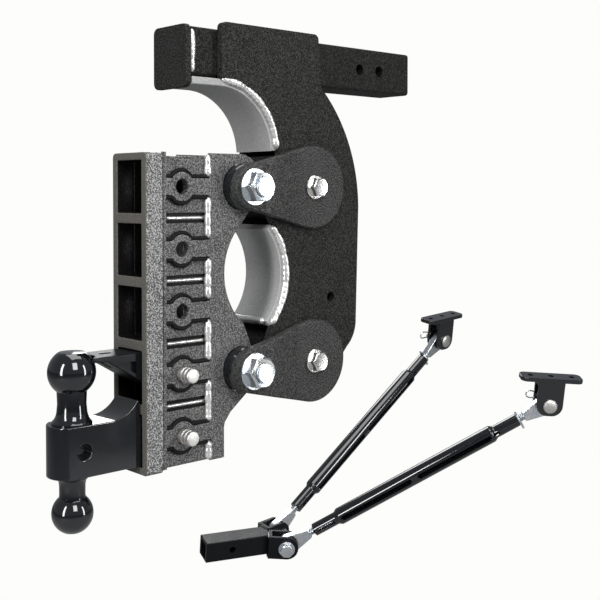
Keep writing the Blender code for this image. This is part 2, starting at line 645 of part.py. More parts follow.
def build_lock_nut(frame, materials, name):
    """A thin jam nut with two handle tabs, run up against the tube's upper end."""
    hub = 15 * MM
    tab = 6 * MM
    reach = 25 * MM
    spread = math.degrees(math.asin(tab / hub))
    outline = arc(0, 0, hub, spread - 90, 90 - spread, 8) + [(tab, reach), (-tab, reach)]
    outline += arc(0, 0, hub, 90 + spread, 270 - spread, 8) + [(-tab, -reach), (tab, -reach)]
    start = TUBE_TO + GAP
    nut = add_piece(name, prism(outline, start, start + 5.5 * MM, "x"), materials["zinc"], frame)
    combine(nut, round_hole((0, 0), STUD_BORE, TUBE_TO - 5 * MM, TUBE_TO + 20 * MM, "x"), frame)


def build_bracket(frame, materials, word):
    """A trailer-frame bracket: three-hole plate over a U, with its pin and hairpin clip."""
    length, width, thick = 152 * MM, 48 * MM, 10 * MM
    low, high = BRACKET_TOP - thick, BRACKET_TOP
    plan = rounded((-length / 2, length / 2), (-width / 2, width / 2), 15 * MM)
    bracket = add_piece(f"{word}_frame_bracket", prism(plan, low, high, "z"), materials["gloss"], frame)
    ear = 32 * MM
    outline = [(ear, low + 2 * MM)] + arc(ear - 26 * MM, 0, 26 * MM, 0, -90, 5)
    outline += arc(26 * MM - ear, 0, 26 * MM, -90, -180, 5) + [(-ear, low + 2 * MM)]
    combine(bracket, prism(outline, -EAR_OUT - 1 * MM, EAR_OUT + 1 * MM), frame, "UNION")
    combine(bracket, block((-60 * MM, 60 * MM), (-EAR_IN, EAR_IN), (-60 * MM, 48 * MM)), frame)
    combine(bracket, round_hole((0, 0), KIT_BOLT + GAP, -40 * MM, 40 * MM), frame)
    for hole_x in (-51 * MM, 0, 51 * MM):
        combine(bracket, round_hole((hole_x, 0), 6.8 * MM, low - 13 * MM, high + 5 * MM, "z", 12), frame)


def build_pin(frame, materials, word):
    """The bracket's pin, head outwards, and the hairpin clip through its far end."""
    face = EAR_OUT + 1 * MM + GAP
    pin_end = 44 * MM
    clip_y = 34 * MM
    profile = [(-face - 9 * MM, 0), (-face - 9 * MM, 14 * MM), (-face - 7 * MM, 17 * MM),
               (-face - 1 * MM, 17.5 * MM), (-face, 16.5 * MM), (-face, KIT_BOLT),
               (pin_end - 2 * MM, KIT_BOLT), (pin_end, 7.6 * MM), (pin_end, 0)]
    pin = add_piece(f"{word}_bracket_pin", turned(profile), materials["bright"], frame)
    wire = 1.7 * MM
    combine(pin, round_hole((clip_y, 0), wire + 0.4 * MM, -20 * MM, 20 * MM, "x", 12), frame)
    route = [(-38, 0), (-24, 0), (-10, 0), (6, 0), (18, 0)]
    bow = [(-38 - 9 * math.sin(math.radians(t)), 9 - 9 * math.cos(math.radians(t)))
           for t in range(36, 181, 36)]
    spring = [(-30, 17), (-22, 13), (-12, 14.5), (0, 14.8), (12, 13.5), (20, 16)]
    points = route[::-1] + bow + spring
    curve = bpy.data.curves.new(f"{word}_hairpin_clip", "CURVE")
    curve.dimensions = "3D"
    curve.bevel_depth = wire
    curve.bevel_resolution = 1
    curve.use_fill_caps = True
    line = curve.splines.new("POLY")
    line.points.add(len(points) - 1)
    for point, (x, z) in zip(line.points, points):
        point.co = (x * MM, clip_y, z * MM, 1)
    clip = bpy.data.objects.new(f"{word}_hairpin_clip", curve)
    bpy.context.scene.collection.objects.link(clip)
    clip.parent = frame
    curve.materials.append(materials["zinc"])


def build_kit_arm(kit, materials, side, word):
    """One side of the kit: clevis, turnbuckle and frame bracket."""
    yaw = Matrix.Rotation(side * V_ANGLE, 3, "Z")
    pitch = Matrix.Rotation(-ARM_PITCH, 3, "Y")
    clevis = make_empty(f"{word}_clevis_frame", kit, (0, 0, 0), yaw)
    build_clevis(clevis, materials, word, side)
    arm = make_empty(f"{word}_arm_frame", clevis, (CLEVIS_PIVOT, 0, 0), pitch)
    socket = 19.9 * MM
    rod_end(f"{word}_lower_rod_end", arm, materials, socket, 1)
    ball = sphere_profile(0, 19.5 * MM, -12.4 * MM, 12.4 * MM, 6)
    ring = [(-12.4 * MM, KIT_BOLT + GAP)] + ball + [(12.4 * MM, KIT_BOLT + GAP)]
    add_piece(f"{word}_swivel_ball", turned(ring, closed=True), materials["zinc"], arm)
    build_turnbuckle_body(arm, materials, f"{word}_turnbuckle_tube")
    build_lock_nut(arm, materials, f"{word}_lock_nut")
    top = make_empty(f"{word}_top_eye_frame", arm, (KIT_ARM, 0, 0))
    rod_end(f"{word}_upper_rod_end", top, materials, KIT_BOLT + GAP, -1)
    bracket = make_empty(f"{word}_bracket_frame", top, (0, 0, 0), pitch.inverted())
    build_bracket(bracket, materials, word)
    build_pin(bracket, materials, word)


def build():
    """Build the whole part."""
    clear_scene()
    materials = {
        "paint": make_material("charcoal_texture_paint", (0.045, 0.045, 0.042), 0.45, 0.3),
        "gloss": make_material("gloss_black_paint", (0.012, 0.013, 0.016), 0.15, 0.0),
        "zinc": make_material("zinc_plate", (0.62, 0.65, 0.68), 0.28, 1.0),
        "bright": make_material("turned_stainless", (0.72, 0.71, 0.68), 0.2, 1.0),
        "steel": make_material("shaft_steel", (0.3, 0.3, 0.3), 0.4, 1.0),
        "rubber": make_material("torsion_rubber", (0.02, 0.02, 0.02), 0.8, 0.0),
    }
    paint = materials["paint"]
    hitch = make_empty("hitch_frame", None, -Vector(SHANK_END))
    build_shank(hitch, paint)
    build_side_plate(hitch, paint, -1, "near_side_plate")
    build_side_plate(hitch, paint, 1, "far_side_plate")
    build_walls(hitch, paint)
    carrier = make_empty("carrier_frame", hitch, (CARRIER_PIVOT_X, 0, UPPER_Z))
    drawn = make_empty("carrier_drawing", carrier, (-CARRIER_PIVOT_X, 0, -UPPER_Z))
    for name, height in (("upper", UPPER_Z), ("lower", LOWER_Z)):
        build_torsion(hitch, paint, materials["rubber"], height, name)
        build_arm_pair(hitch, materials, name, height)
        build_carrier_pivot(drawn, materials, name, height)
    build_receiver(drawn, materials)
    build_ball_mount(drawn, materials)
    build_pintle_lock(drawn, materials)
    build_hitch_pin(drawn, materials, 0, "lower_hitch_pin")
    build_hitch_pin(drawn, materials, 1, "upper_hitch_pin")
    turn = Matrix.Rotation(KIT_YAW, 3, "Z") @ Matrix.Rotation(KIT_ROLL, 3, "X")
    kit = make_empty("kit_frame", hitch, KIT_PLACE, turn)
    build_insert(kit, materials)
    build_kit_arm(kit, materials, -1, "near")
    build_kit_arm(kit, materials, 1, "far")


build()
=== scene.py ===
"""Looks of the torsion-suspended drop hitch and its arm kit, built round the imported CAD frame.

Each sub-assembly is a class. Its sizes are dataclass fields in metres, on a bench frame whose X = 0 is
the front face of the slotted receiver and whose Z = 0 is the foot of the lowest slot. The bench frame
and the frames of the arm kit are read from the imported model, so every piece lies where its CAD node is.
"""

import json
import logging
import math
from dataclasses import dataclass, field
from enum import Enum

import bmesh
import bpy
import numpy as np
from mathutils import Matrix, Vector
from mathutils.geometry import tessellate_polygon

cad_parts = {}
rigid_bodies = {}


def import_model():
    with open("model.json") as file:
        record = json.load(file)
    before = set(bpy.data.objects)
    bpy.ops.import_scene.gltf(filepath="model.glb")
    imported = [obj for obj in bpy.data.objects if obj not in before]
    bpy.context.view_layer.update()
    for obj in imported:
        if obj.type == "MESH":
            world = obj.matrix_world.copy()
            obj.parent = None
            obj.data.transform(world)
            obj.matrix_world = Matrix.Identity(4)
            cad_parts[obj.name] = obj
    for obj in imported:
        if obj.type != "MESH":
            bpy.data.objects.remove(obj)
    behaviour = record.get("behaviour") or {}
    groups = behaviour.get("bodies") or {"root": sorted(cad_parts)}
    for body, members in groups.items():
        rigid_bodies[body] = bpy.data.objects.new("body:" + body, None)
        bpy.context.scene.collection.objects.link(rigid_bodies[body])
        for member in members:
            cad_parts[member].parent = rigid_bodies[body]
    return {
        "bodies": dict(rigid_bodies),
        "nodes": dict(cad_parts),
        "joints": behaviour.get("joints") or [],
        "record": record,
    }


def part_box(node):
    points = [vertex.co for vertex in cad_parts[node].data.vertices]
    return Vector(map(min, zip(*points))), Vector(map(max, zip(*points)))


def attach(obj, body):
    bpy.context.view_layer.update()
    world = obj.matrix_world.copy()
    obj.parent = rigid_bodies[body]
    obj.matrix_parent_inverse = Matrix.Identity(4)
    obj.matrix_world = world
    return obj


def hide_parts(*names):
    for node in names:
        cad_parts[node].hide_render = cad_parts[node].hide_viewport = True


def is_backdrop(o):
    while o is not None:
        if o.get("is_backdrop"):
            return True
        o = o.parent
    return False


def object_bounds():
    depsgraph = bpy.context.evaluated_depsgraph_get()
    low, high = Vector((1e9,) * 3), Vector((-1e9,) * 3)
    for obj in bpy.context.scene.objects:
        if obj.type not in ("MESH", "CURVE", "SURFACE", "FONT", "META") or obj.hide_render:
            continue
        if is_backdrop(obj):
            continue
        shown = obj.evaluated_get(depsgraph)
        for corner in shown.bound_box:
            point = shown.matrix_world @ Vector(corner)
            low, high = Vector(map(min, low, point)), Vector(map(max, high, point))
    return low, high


MM = 0.001
GAP = 0.3 * MM
SHANK = 63.5 * MM
SIDE_PLATE = 12.7 * MM
COLLAR_LIP = 3 * MM
PIVOTS = {"upper": 360 * MM, "lower": 116 * MM}
LOG = logging.getLogger("hitch")


class Axis(Enum):
    """Where the outline's two coordinates and the depth go: the indices of (a, b, depth)."""

    X = (1, 2, 0)
    Y = (0, 2, 1)
    Z = (0, 1, 2)


class Slot(Enum):
    """Material slots of the record."""

    PAINT = "textured_charcoal_paint"
    GLOSS = "gloss_black_paint"
    ZINC = "zinc_plate"
    BRIGHT = "turned_stainless"
    STEEL = "shaft_steel"
    RUBBER = "torsion_rubber"


# ------------------------------------------------------------------- surfaces

@dataclass
class Shell:
    """A closed surface: its points and its faces, as lists of point numbers."""

    points: np.ndarray
    faces: list[list[int]]

    def __add__(self, other: "Shell") -> "Shell":
        """Both shells as one."""
        shift = len(self.points)
        moved = [[shift + i for i in face] for face in other.faces]
        return Shell(np.vstack([self.points, other.points]), self.faces + moved)


@dataclass(frozen=True)
class Place:
    """A right-handed frame: its origin, and its axes as the columns of a matrix."""

    origin: np.ndarray
    axes: np.ndarray

    def put(self, shell: Shell) -> Shell:
        """The shell moved from this frame's coordinates to the row frame."""
        return Shell(shell.points @ self.axes.T + self.origin, shell.faces)

    def moved(self, x: float = 0.0, y: float = 0.0, z: float = 0.0) -> "Place":
        """The same frame with its origin moved along its own axes."""
        return Place(self.origin + self.axes @ np.array([x, y, z]), self.axes)


def to_space(axis: Axis, a: np.ndarray, b: np.ndarray, depth: np.ndarray) -> np.ndarray:
    """Put outline coordinates and a depth in space.

    Args:
        axis: the axis that the depth runs along.
        a: first outline coordinate.
        b: second outline coordinate.
        depth: distance along the axis.

    Returns:
        The points, with x, y and z last.
    """
    parts = np.broadcast_arrays(a, b, depth)
    space = np.empty((*parts[0].shape, 3))
    for part, index in zip(parts, axis.value):
        space[..., index] = part
    return space


def grid_faces(rows: int, columns: int, closed: bool = False) -> list[list[int]]:
    """Quads of a grid whose columns wrap round, and whose rows wrap too where it is closed.

    Args:
        rows: rows of the grid.
        columns: points in each row.
        closed: whether the last row joins the first.

    Returns:
        The quads, as lists of point numbers.
    """
    row = np.arange(rows if closed else rows - 1)[:, None]
    column = np.arange(columns)[None, :]
    after, beside = (row + 1) % rows, (column + 1) % columns
    first, second = row * columns, after * columns
    quads = np.stack([first + column, first + beside, second + beside, second + column], -1)
    return quads.reshape(-1, 4).tolist()


def arc(a: float, b: float, radius: float, start: float, stop: float, steps: int) -> np.ndarray:
    """Points on a circle about (a, b), from one angle to another in degrees.

    Args:
        a: first coordinate of the middle.
        b: second coordinate of the middle.
        radius: radius of the circle.
        start: first angle.
        stop: last angle.
        steps: segments between them.

    Returns:
        One more point than there are segments.
    """
    turn = np.radians(np.linspace(start, stop, steps + 1))
    return np.stack([a + radius * np.cos(turn), b + radius * np.sin(turn)], -1)


def circle(a: float, b: float, radius: float, steps: int = 48) -> np.ndarray:
    """A closed circle about (a, b)."""
    return arc(a, b, radius, 0, 360, steps)[:-1]


def rounded(a: tuple[float, float], b: tuple[float, float], radius: float, steps: int = 8) -> np.ndarray:
    """A rectangle with round corners, from its lowest and highest coordinates.

    Args:
        a: lowest and highest first coordinate.
        b: lowest and highest second coordinate.
        radius: corner radius.
        steps: segments of each corner.

    Returns:
        The outline, anticlockwise.
    """
    (a0, a1), (b0, b1) = a, b
    return np.vstack([
        arc(a1 - radius, b1 - radius, radius, 0, 90, steps),
        arc(a0 + radius, b1 - radius, radius, 90, 180, steps),
        arc(a0 + radius, b0 + radius, radius, 180, 270, steps),
        arc(a1 - radius, b0 + radius, radius, 270, 360, steps),
    ])


def fillet(corners: list[tuple[float, float]], radius: float, steps: int = 5) -> np.ndarray:
    """Round every corner of a closed outline: a quadratic curve leaves and joins its two sides.

    Args:
        corners: the sharp outline.
        radius: how far along each side the curve starts, at most 0.45 of the side.
        steps: segments of each curve.

    Returns:
        The rounded outline.
    """
    points = np.array(corners)
    before, after = np.roll(points, 1, 0) - points, np.roll(points, -1, 0) - points
    reach = [np.minimum(radius / np.linalg.norm(d, axis=1), 0.45)[:, None] * d for d in (before, after)]
    t = np.linspace(0, 1, steps + 1)[None, :, None]
    start, stop, middle = (points + reach[0])[:, None], (points + reach[1])[:, None], points[:, None]
    return ((1 - t) ** 2 * start + 2 * t * (1 - t) * middle + t ** 2 * stop).reshape(-1, 2)


def tidy_loop(loop: np.ndarray, anticlockwise: bool) -> np.ndarray:
    """Drop repeated points of a closed outline and give it a direction of travel.

    Args:
        loop: the outline.
        anticlockwise: whether it should run anticlockwise.

    Returns:
        The outline without its repeats.
    """
    loop = np.asarray(loop, float)
    loop = loop[np.linalg.norm(loop - np.roll(loop, 1, 0), axis=1) > 1e-6]
    after = np.roll(loop, -1, 0)
    area = np.sum(loop[:, 0] * after[:, 1] - after[:, 0] * loop[:, 1])
    return loop if (area > 0) == anticlockwise else loop[::-1]


def outward(loop: np.ndarray) -> np.ndarray:
    """Mitred normals of a closed outline: the mean of two sides' normals, over their half-turn's cosine.

    Args:
        loop: the outline, anticlockwise.

    Returns:
        One vector for each point.
    """
    side = np.roll(loop, -1, 0) - loop
    normal = np.stack([side[:, 1], -side[:, 0]], -1) / np.linalg.norm(side, axis=1)[:, None]
    middle = normal + np.roll(normal, 1, 0)
    middle /= np.maximum(np.linalg.norm(middle, axis=1), 1e-9)[:, None]
    return middle / np.maximum(np.sum(middle * normal, axis=1), 0.55)[:, None]


def plate(outline: np.ndarray, low: float, high: float, axis: Axis = Axis.Y, edge: float = MM,
          holes: tuple[np.ndarray, ...] = (), steps: int = 3) -> Shell:
    """A flat plate with rounded edges.

    A rim profile is carried round each outline: inset e(1 - sin t) and depth e(1 - cos t), with t from
    0 to a quarter turn, is the rounding at one face, and its mirror image the rounding at the other.

    Args:
        outline: outer outline.
        low: depth of one face.
        high: depth of the other face.
        axis: axis that the plate's thickness runs along.
        edge: radius of the rounded edges.
        holes: outlines of its holes.
        steps: segments of each rounding.

    Returns:
        The closed shell.
    """
    turn = np.linspace(0, math.pi / 2, steps + 1)
    inset = edge * (1 - np.sin(turn))
    rise = edge * (1 - np.cos(turn))
    inset = np.r_[inset, inset[::-1]]
    depth = np.r_[low + rise, (high - rise)[::-1]]
    rows = len(inset)
    points, faces, rims, starts = [], [], [], []
    count = 0
    for number, loop in enumerate((outline, *holes)):
        loop = tidy_loop(loop, number == 0)
        ring = loop[None] - inset[:, None, None] * outward(loop)[None]
        points.append(to_space(axis, ring[..., 0], ring[..., 1], depth[:, None]).reshape(-1, 3))
        faces += (np.array(grid_faces(rows, len(loop))) + count).tolist()
        rims.append([Vector((*point, 0)) for point in ring[0]])
        starts.append(np.arange(len(loop)) + count)
        count += rows * len(loop)
    lengths = [len(start) for start in starts]
    near = np.concatenate(starts)
    far = np.concatenate([start + (rows - 1) * n for start, n in zip(starts, lengths)])
    cap = np.array(tessellate_polygon(rims))
    faces += near[cap].tolist() + far[cap[:, ::-1]].tolist()
    return Shell(np.vstack(points), faces)


def turned(profile: list[tuple[float, ...]], axis: Axis = Axis.Y, centre: tuple[float, float] = (0.0, 0.0),
           closed: bool = False, segments: int = 72) -> Shell:
    """A turned piece, whose hexagonal stretches are the smaller of a hexagon and a turned shape.

    Args:
        profile: (distance, radius) or (distance, radius, width across flats) along the axis.
        axis: axis of turning.
        centre: place of the axis in the other two coordinates.
        closed: whether the profile is the section of a ring.
        segments: steps round the axis, a multiple of 6.

    Returns:
        The closed shell.
    """
    table = np.array([(*point, 1.0)[:3] for point in profile])
    turn = np.linspace(0, 2 * math.pi, segments, endpoint=False)
    sixth = math.pi / 3
    hexagon = 0.5 / np.cos(turn % sixth - sixth / 2)
    radius = np.minimum(table[:, 1:2], table[:, 2:3] * hexagon[None])
    a, b = centre[0] + radius * np.cos(turn), centre[1] + radius * np.sin(turn)
    points = to_space(axis, a, b, table[:, 0:1])
    return Shell(points.reshape(-1, 3), grid_faces(len(table), segments, closed))


def hex_rows(start: float, stop: float, flats: float) -> list[tuple[float, float, float]]:
    """Profile rows of a hexagonal head, with the turned chamfer at its outer end.

    Args:
        start: distance of the inner face.
        stop: distance of the outer face.
        flats: width across flats.

    Returns:
        Rows for a turned profile, from the inner face outwards.
    """
    corner = flats / math.sqrt(3)
    way = 1 if stop > start else -1
    rise = way * (corner - 0.47 * flats) * 0.6
    share = np.linspace(0, 1, 6)
    rows = [(start, corner * 1.01, flats)]
    fall = corner * 1.01 - 0.47 * flats
    return rows + [(stop - rise * (1 - s), corner * 1.01 - fall * s, flats) for s in share]


def threaded(start: float, stop: float, radius: float, pitch: float, axis: Axis,
             centre: tuple[float, float] = (0.0, 0.0)) -> Shell:
    """A threaded rod: its radius falls by a triangle wave of the turns along it plus the turn round it.

    Args:
        start: distance of one end.
        stop: distance of the other end.
        radius: radius over the crests.
        pitch: distance from crest to crest.
        axis: axis of the rod.
        centre: place of the axis in the other two coordinates.

    Returns:
        The closed shell.
    """
    segments, per_turn = 30, 6
    rows = int(abs(stop - start) / pitch * per_turn) + 1
    along = np.linspace(start, stop, rows)[:, None]
    turn = np.linspace(0, 2 * math.pi, segments, endpoint=False)[None]
    phase = (along / pitch - turn / (2 * math.pi)) % 1.0
    depth = 0.55 * pitch * np.abs(2 * phase - 1)
    ring = radius - depth * np.minimum(1, np.minimum(along - start, stop - along) / pitch + 0.3)
    ring = np.vstack([np.zeros((1, segments)), ring, np.zeros((1, segments))])
    along = np.vstack([along[:1], along, along[-1:]])
    points = to_space(axis, centre[0] + ring * np.cos(turn), centre[1] + ring * np.sin(turn), along)
    return Shell(points.reshape(-1, 3), grid_faces(len(ring), segments))


def swept(path: np.ndarray, radius: np.ndarray, normal: tuple[float, float, float],
          segments: int = 14) -> Shell:
    """A circle carried along a path, its ends closed on the path's end points.

    Args:
        path: points of the path.
        radius: radius at each point.
        normal: a direction that the path never runs along.
        segments: steps round the path.

    Returns:
        The closed shell.
    """
    path = np.vstack([path[:1], path, path[-1:]])
    radius = np.r_[0.0, radius, 0.0]
    tangent = np.gradient(path[1:-1], axis=0)
    tangent = np.vstack([tangent[:1], tangent, tangent[-1:]])
    tangent /= np.linalg.norm(tangent, axis=1)[:, None]
    side = np.array(normal)[None] - (tangent @ np.array(normal))[:, None] * tangent
    side /= np.linalg.norm(side, axis=1)[:, None]
    lift = np.cross(tangent, side)
    turn = np.linspace(0, 2 * math.pi, segments, endpoint=False)[None, :, None]
    ring = np.cos(turn) * side[:, None] + np.sin(turn) * lift[:, None]
    points = path[:, None] + radius[:, None, None] * ring
    return Shell(points.reshape(-1, 3), grid_faces(len(path), segments))


def route_of(x: float | np.ndarray, y: float | np.ndarray, z: float | np.ndarray) -> np.ndarray:
    """Points of a route. A coordinate that stays the same all along it is given once."""
    return np.stack(np.broadcast_arrays(x, y, z), -1)


def weld_bead(route: np.ndarray, radius: float, normal: tuple[float, float, float], seed: int) -> Shell:
    """A lumpy weld bead.

    The route is walked in even steps. The radius follows the half sine of each laid drop, times a
    seeded factor of its own, and closes at both ends with a quarter circle.

    Args:
        route: points of the bead's middle.
        radius: mean radius.
        normal: a direction that the route never runs along.
        seed: seed of the drops' sizes.

    Returns:
        The closed shell.
    """
    drop, step = 8.0 * MM, 1.0 * MM
    reach = np.r_[0, np.cumsum(np.linalg.norm(np.diff(route, axis=0), axis=1))]
    at = np.linspace(0, reach[-1], max(6, int(reach[-1] / step)))
    path = np.stack([np.interp(at, reach, route[:, i]) for i in range(3)], -1)
    draws = np.random.default_rng(seed).uniform(0.82, 1.16, int(reach[-1] / drop) + 3)
    size = np.interp(at / drop, np.arange(len(draws)), draws)
    ripple = 0.95 + 0.07 * np.abs(np.sin(math.pi * at / drop))
    ends = np.minimum(at, reach[-1] - at) / (1.4 * radius)
    close = np.sqrt(np.clip(1 - (1 - np.clip(ends, 0.02, 1)) ** 2, 0, 1))
    return swept(path, radius * size * ripple * close, normal)


# ------------------------------------------------------------------ node groups

def new_group(name: str, inputs: dict[str, tuple[str, object]],
              outputs: dict[str, str]) -> tuple[bpy.types.NodeTree, bpy.types.Node, bpy.types.Node]:
    """Make a shader node group with named sockets.

    Args:
        name: the group's name.
        inputs: socket type and default value by name.
        outputs: socket type by name.

    Returns:
        The group, its input node and its output node.
    """
    group = bpy.data.node_groups.new(name, "ShaderNodeTree")
    for label, (kind, value) in inputs.items():
        socket = group.interface.new_socket(label, in_out="INPUT", socket_type=kind)
        if value is not None:
            socket.default_value = value
    for label, kind in outputs.items():
        group.interface.new_socket(label, in_out="OUTPUT", socket_type=kind)
    return group, group.nodes.new("NodeGroupInput"), group.nodes.new("NodeGroupOutput")


def add_node(tree: bpy.types.NodeTree, kind: str, links: dict[int | str, object] | None = None,
             **settings: object) -> bpy.types.Node:
    """Add a node, set its properties, and set or link its inputs.

    Args:
        tree: the node tree.
        kind: type of the node.
        links: a value or a socket for each input.
        settings: properties of the node.

    Returns:
        The node.
    """
    node = tree.nodes.new(kind)
    for label, value in settings.items():
        setattr(node, label, value)
    for socket, value in (links or {}).items():
        if isinstance(value, bpy.types.NodeSocket):
            tree.links.new(value, node.inputs[socket])
        else:
            node.inputs[socket].default_value = value
    return node


def hammertone_group() -> bpy.types.NodeTree:
    """Charcoal powder coat: fine light flecks between dark cells, over slow changes of tone."""
    group, given, out = new_group(
        "hammertone",
        {"Vector": ("NodeSocketVector", None), "Dark": ("NodeSocketColor", (0.02, 0.02, 0.02, 1)),
         "Light": ("NodeSocketColor", (0.2, 0.2, 0.19, 1)), "Scale": ("NodeSocketFloat", 620.0),
         "Amount": ("NodeSocketFloat", 0.5)},
        {"Color": "NodeSocketColor", "Roughness": "NodeSocketFloat", "Height": "NodeSocketFloat"})
    cells = add_node(group, "ShaderNodeTexVoronoi",
                     {"Vector": given.outputs["Vector"], "Scale": given.outputs["Scale"]},
                     feature="SMOOTH_F1")
    grain = add_node(group, "ShaderNodeTexNoise",
                     {"Vector": given.outputs["Vector"], "Scale": 520.0, "Detail": 1.5, "Roughness": 0.6})
    slow = add_node(group, "ShaderNodeTexNoise",
                    {"Vector": given.outputs["Vector"], "Scale": 22.0, "Detail": 2.0})
    fleck = add_node(group, "ShaderNodeMapRange",
                     {"Value": grain.outputs["Fac"], "From Min": 0.44, "From Max": 0.64})
    vein = add_node(group, "ShaderNodeMapRange",
                    {"Value": cells.outputs["Distance"], "From Min": 0.55, "From Max": 1.1})
    both = add_node(group, "ShaderNodeMath", {0: fleck.outputs[0], 1: vein.outputs[0]}, operation="MAXIMUM")
    drift = add_node(group, "ShaderNodeMath", {0: slow.outputs["Fac"], 1: 0.22}, operation="MULTIPLY")
    total = add_node(group, "ShaderNodeMath", {0: both.outputs[0], 1: drift.outputs[0]}, operation="ADD")
    scaled = add_node(group, "ShaderNodeMath", {0: total.outputs[0], 1: given.outputs["Amount"]},
                      operation="MULTIPLY", use_clamp=True)
    colour = add_node(group, "ShaderNodeMix", {"Factor": scaled.outputs[0], 6: given.outputs["Dark"],
                                               7: given.outputs["Light"]}, data_type="RGBA")
    rough = add_node(group, "ShaderNodeMapRange",
                     {"Value": both.outputs[0], "To Min": 0.52, "To Max": 0.3})
    group.links.new(colour.outputs[2], out.inputs["Color"])
    group.links.new(rough.outputs[0], out.inputs["Roughness"])
    group.links.new(cells.outputs["Distance"], out.inputs["Height"])
    return group


def peel_group() -> bpy.types.NodeTree:
    """Orange peel of sprayed gloss paint: a soft height, and a roughness that clouds slightly."""
    group, given, out = new_group(
        "orange_peel",
        {"Vector": ("NodeSocketVector", None), "Scale": ("NodeSocketFloat", 160.0),
         "Smooth": ("NodeSocketFloat", 0.07), "Cloudy": ("NodeSocketFloat", 0.16)},
        {"Height": "NodeSocketFloat", "Roughness": "NodeSocketFloat"})
    peel = add_node(group, "ShaderNodeTexNoise", {"Vector": given.outputs["Vector"],
                                                  "Scale": given.outputs["Scale"], "Detail": 1.0})
    cloud = add_node(group, "ShaderNodeTexNoise", {"Vector": given.outputs["Vector"], "Scale": 30.0,
                                                   "Detail": 5.0, "Roughness": 0.65})
    rough = add_node(group, "ShaderNodeMapRange",
                     {"Value": cloud.outputs["Fac"], "From Min": 0.35, "From Max": 0.75,
                      "To Min": given.outputs["Smooth"], "To Max": given.outputs["Cloudy"]})
    group.links.new(peel.outputs["Fac"], out.inputs["Height"])
    group.links.new(rough.outputs[0], out.inputs["Roughness"])
    return group


def plating_group() -> bpy.types.NodeTree:
    """Plated or machined metal: clouds of tone, fine scratches and a roughness that follows them."""
    group, given, out = new_group(
        "plated_metal",
        {"Vector": ("NodeSocketVector", None), "Cool": ("NodeSocketColor", (0.6, 0.66, 0.74, 1)),
         "Warm": ("NodeSocketColor", (0.78, 0.76, 0.72, 1)), "Rings": ("NodeSocketFloat", 0.0),
         "Smooth": ("NodeSocketFloat", 0.16), "Rough": ("NodeSocketFloat", 0.36)},
        {"Color": "NodeSocketColor", "Roughness": "NodeSocketFloat", "Height": "NodeSocketFloat"})
    cloud = add_node(group, "ShaderNodeTexNoise", {"Vector": given.outputs["Vector"], "Scale": 75.0,
                                                   "Detail": 4.0})
    tone = add_node(group, "ShaderNodeMapRange",
                    {"Value": cloud.outputs["Fac"], "From Min": 0.3, "From Max": 0.7})
    colour = add_node(group, "ShaderNodeMix", {"Factor": tone.outputs[0], 6: given.outputs["Cool"],
                                               7: given.outputs["Warm"]}, data_type="RGBA")
    fine = add_node(group, "ShaderNodeTexNoise", {"Vector": given.outputs["Vector"], "Scale": 1400.0,
                                                  "Detail": 2.0})
    lathe = add_node(group, "ShaderNodeTexWave", {"Vector": given.outputs["Vector"], "Scale": 420.0,
                                                  "Distortion": 0.6}, bands_direction="Y")
    ringed = add_node(group, "ShaderNodeMath", {0: lathe.outputs["Fac"], 1: given.outputs["Rings"]},
                      operation="MULTIPLY")
    height = add_node(group, "ShaderNodeMath", {0: fine.outputs["Fac"], 1: ringed.outputs[0]},
                      operation="ADD")
    rough = add_node(group, "ShaderNodeMapRange",
                     {"Value": fine.outputs["Fac"], "From Min": 0.3, "From Max": 0.7,
                      "To Min": given.outputs["Smooth"], "To Max": given.outputs["Rough"]})
    group.links.new(colour.outputs[2], out.inputs["Color"])
    group.links.new(rough.outputs[0], out.inputs["Roughness"])
    group.links.new(height.outputs[0], out.inputs["Height"])
    return group


# -------------------------------------------------------------------- finishes

@dataclass(frozen=True)
class Finish:
    """A finish that every kind shares: its name, its slot of the record and its relief."""

    name: str
    slot: Slot
    relief: float = 0.1
    depth: float = 0.0004

    def start(self) -> tuple[bpy.types.Material, bpy.types.NodeTree, bpy.types.Node, bpy.types.NodeSocket]:
        """Make the material.

        Returns:
            The material, its node tree, its Principled BSDF and its object coordinates.
        """
        material = bpy.data.materials.new(self.name)
        material.use_nodes = True
        tree = material.node_tree
        shader = tree.nodes["Principled BSDF"]
        coordinates = add_node(tree, "ShaderNodeTexCoord").outputs["Object"]
        return material, tree, shader, coordinates

    def use_group(self, tree: bpy.types.NodeTree, group: str, values: dict[str, object]) -> bpy.types.Node:
        """Place a shared node group with this finish's own values.

        Args:
            tree: the material's node tree.
            group: name of the group.
            values: a value or a socket for each input.

        Returns:
            The group's node.
        """
        node = add_node(tree, "ShaderNodeGroup", node_tree=bpy.data.node_groups[group])
        for label, value in values.items():
            if isinstance(value, bpy.types.NodeSocket):
                tree.links.new(value, node.inputs[label])
            else:
                node.inputs[label].default_value = value
        return node

    def emboss(self, tree: bpy.types.NodeTree, shader: bpy.types.Node, height: bpy.types.NodeSocket) -> None:
        """Feed a height to the shader's normal through a Bump node."""
        bump = add_node(tree, "ShaderNodeBump",
                        {"Height": height, "Strength": self.relief, "Distance": self.depth})
        tree.links.new(bump.outputs["Normal"], shader.inputs["Normal"])


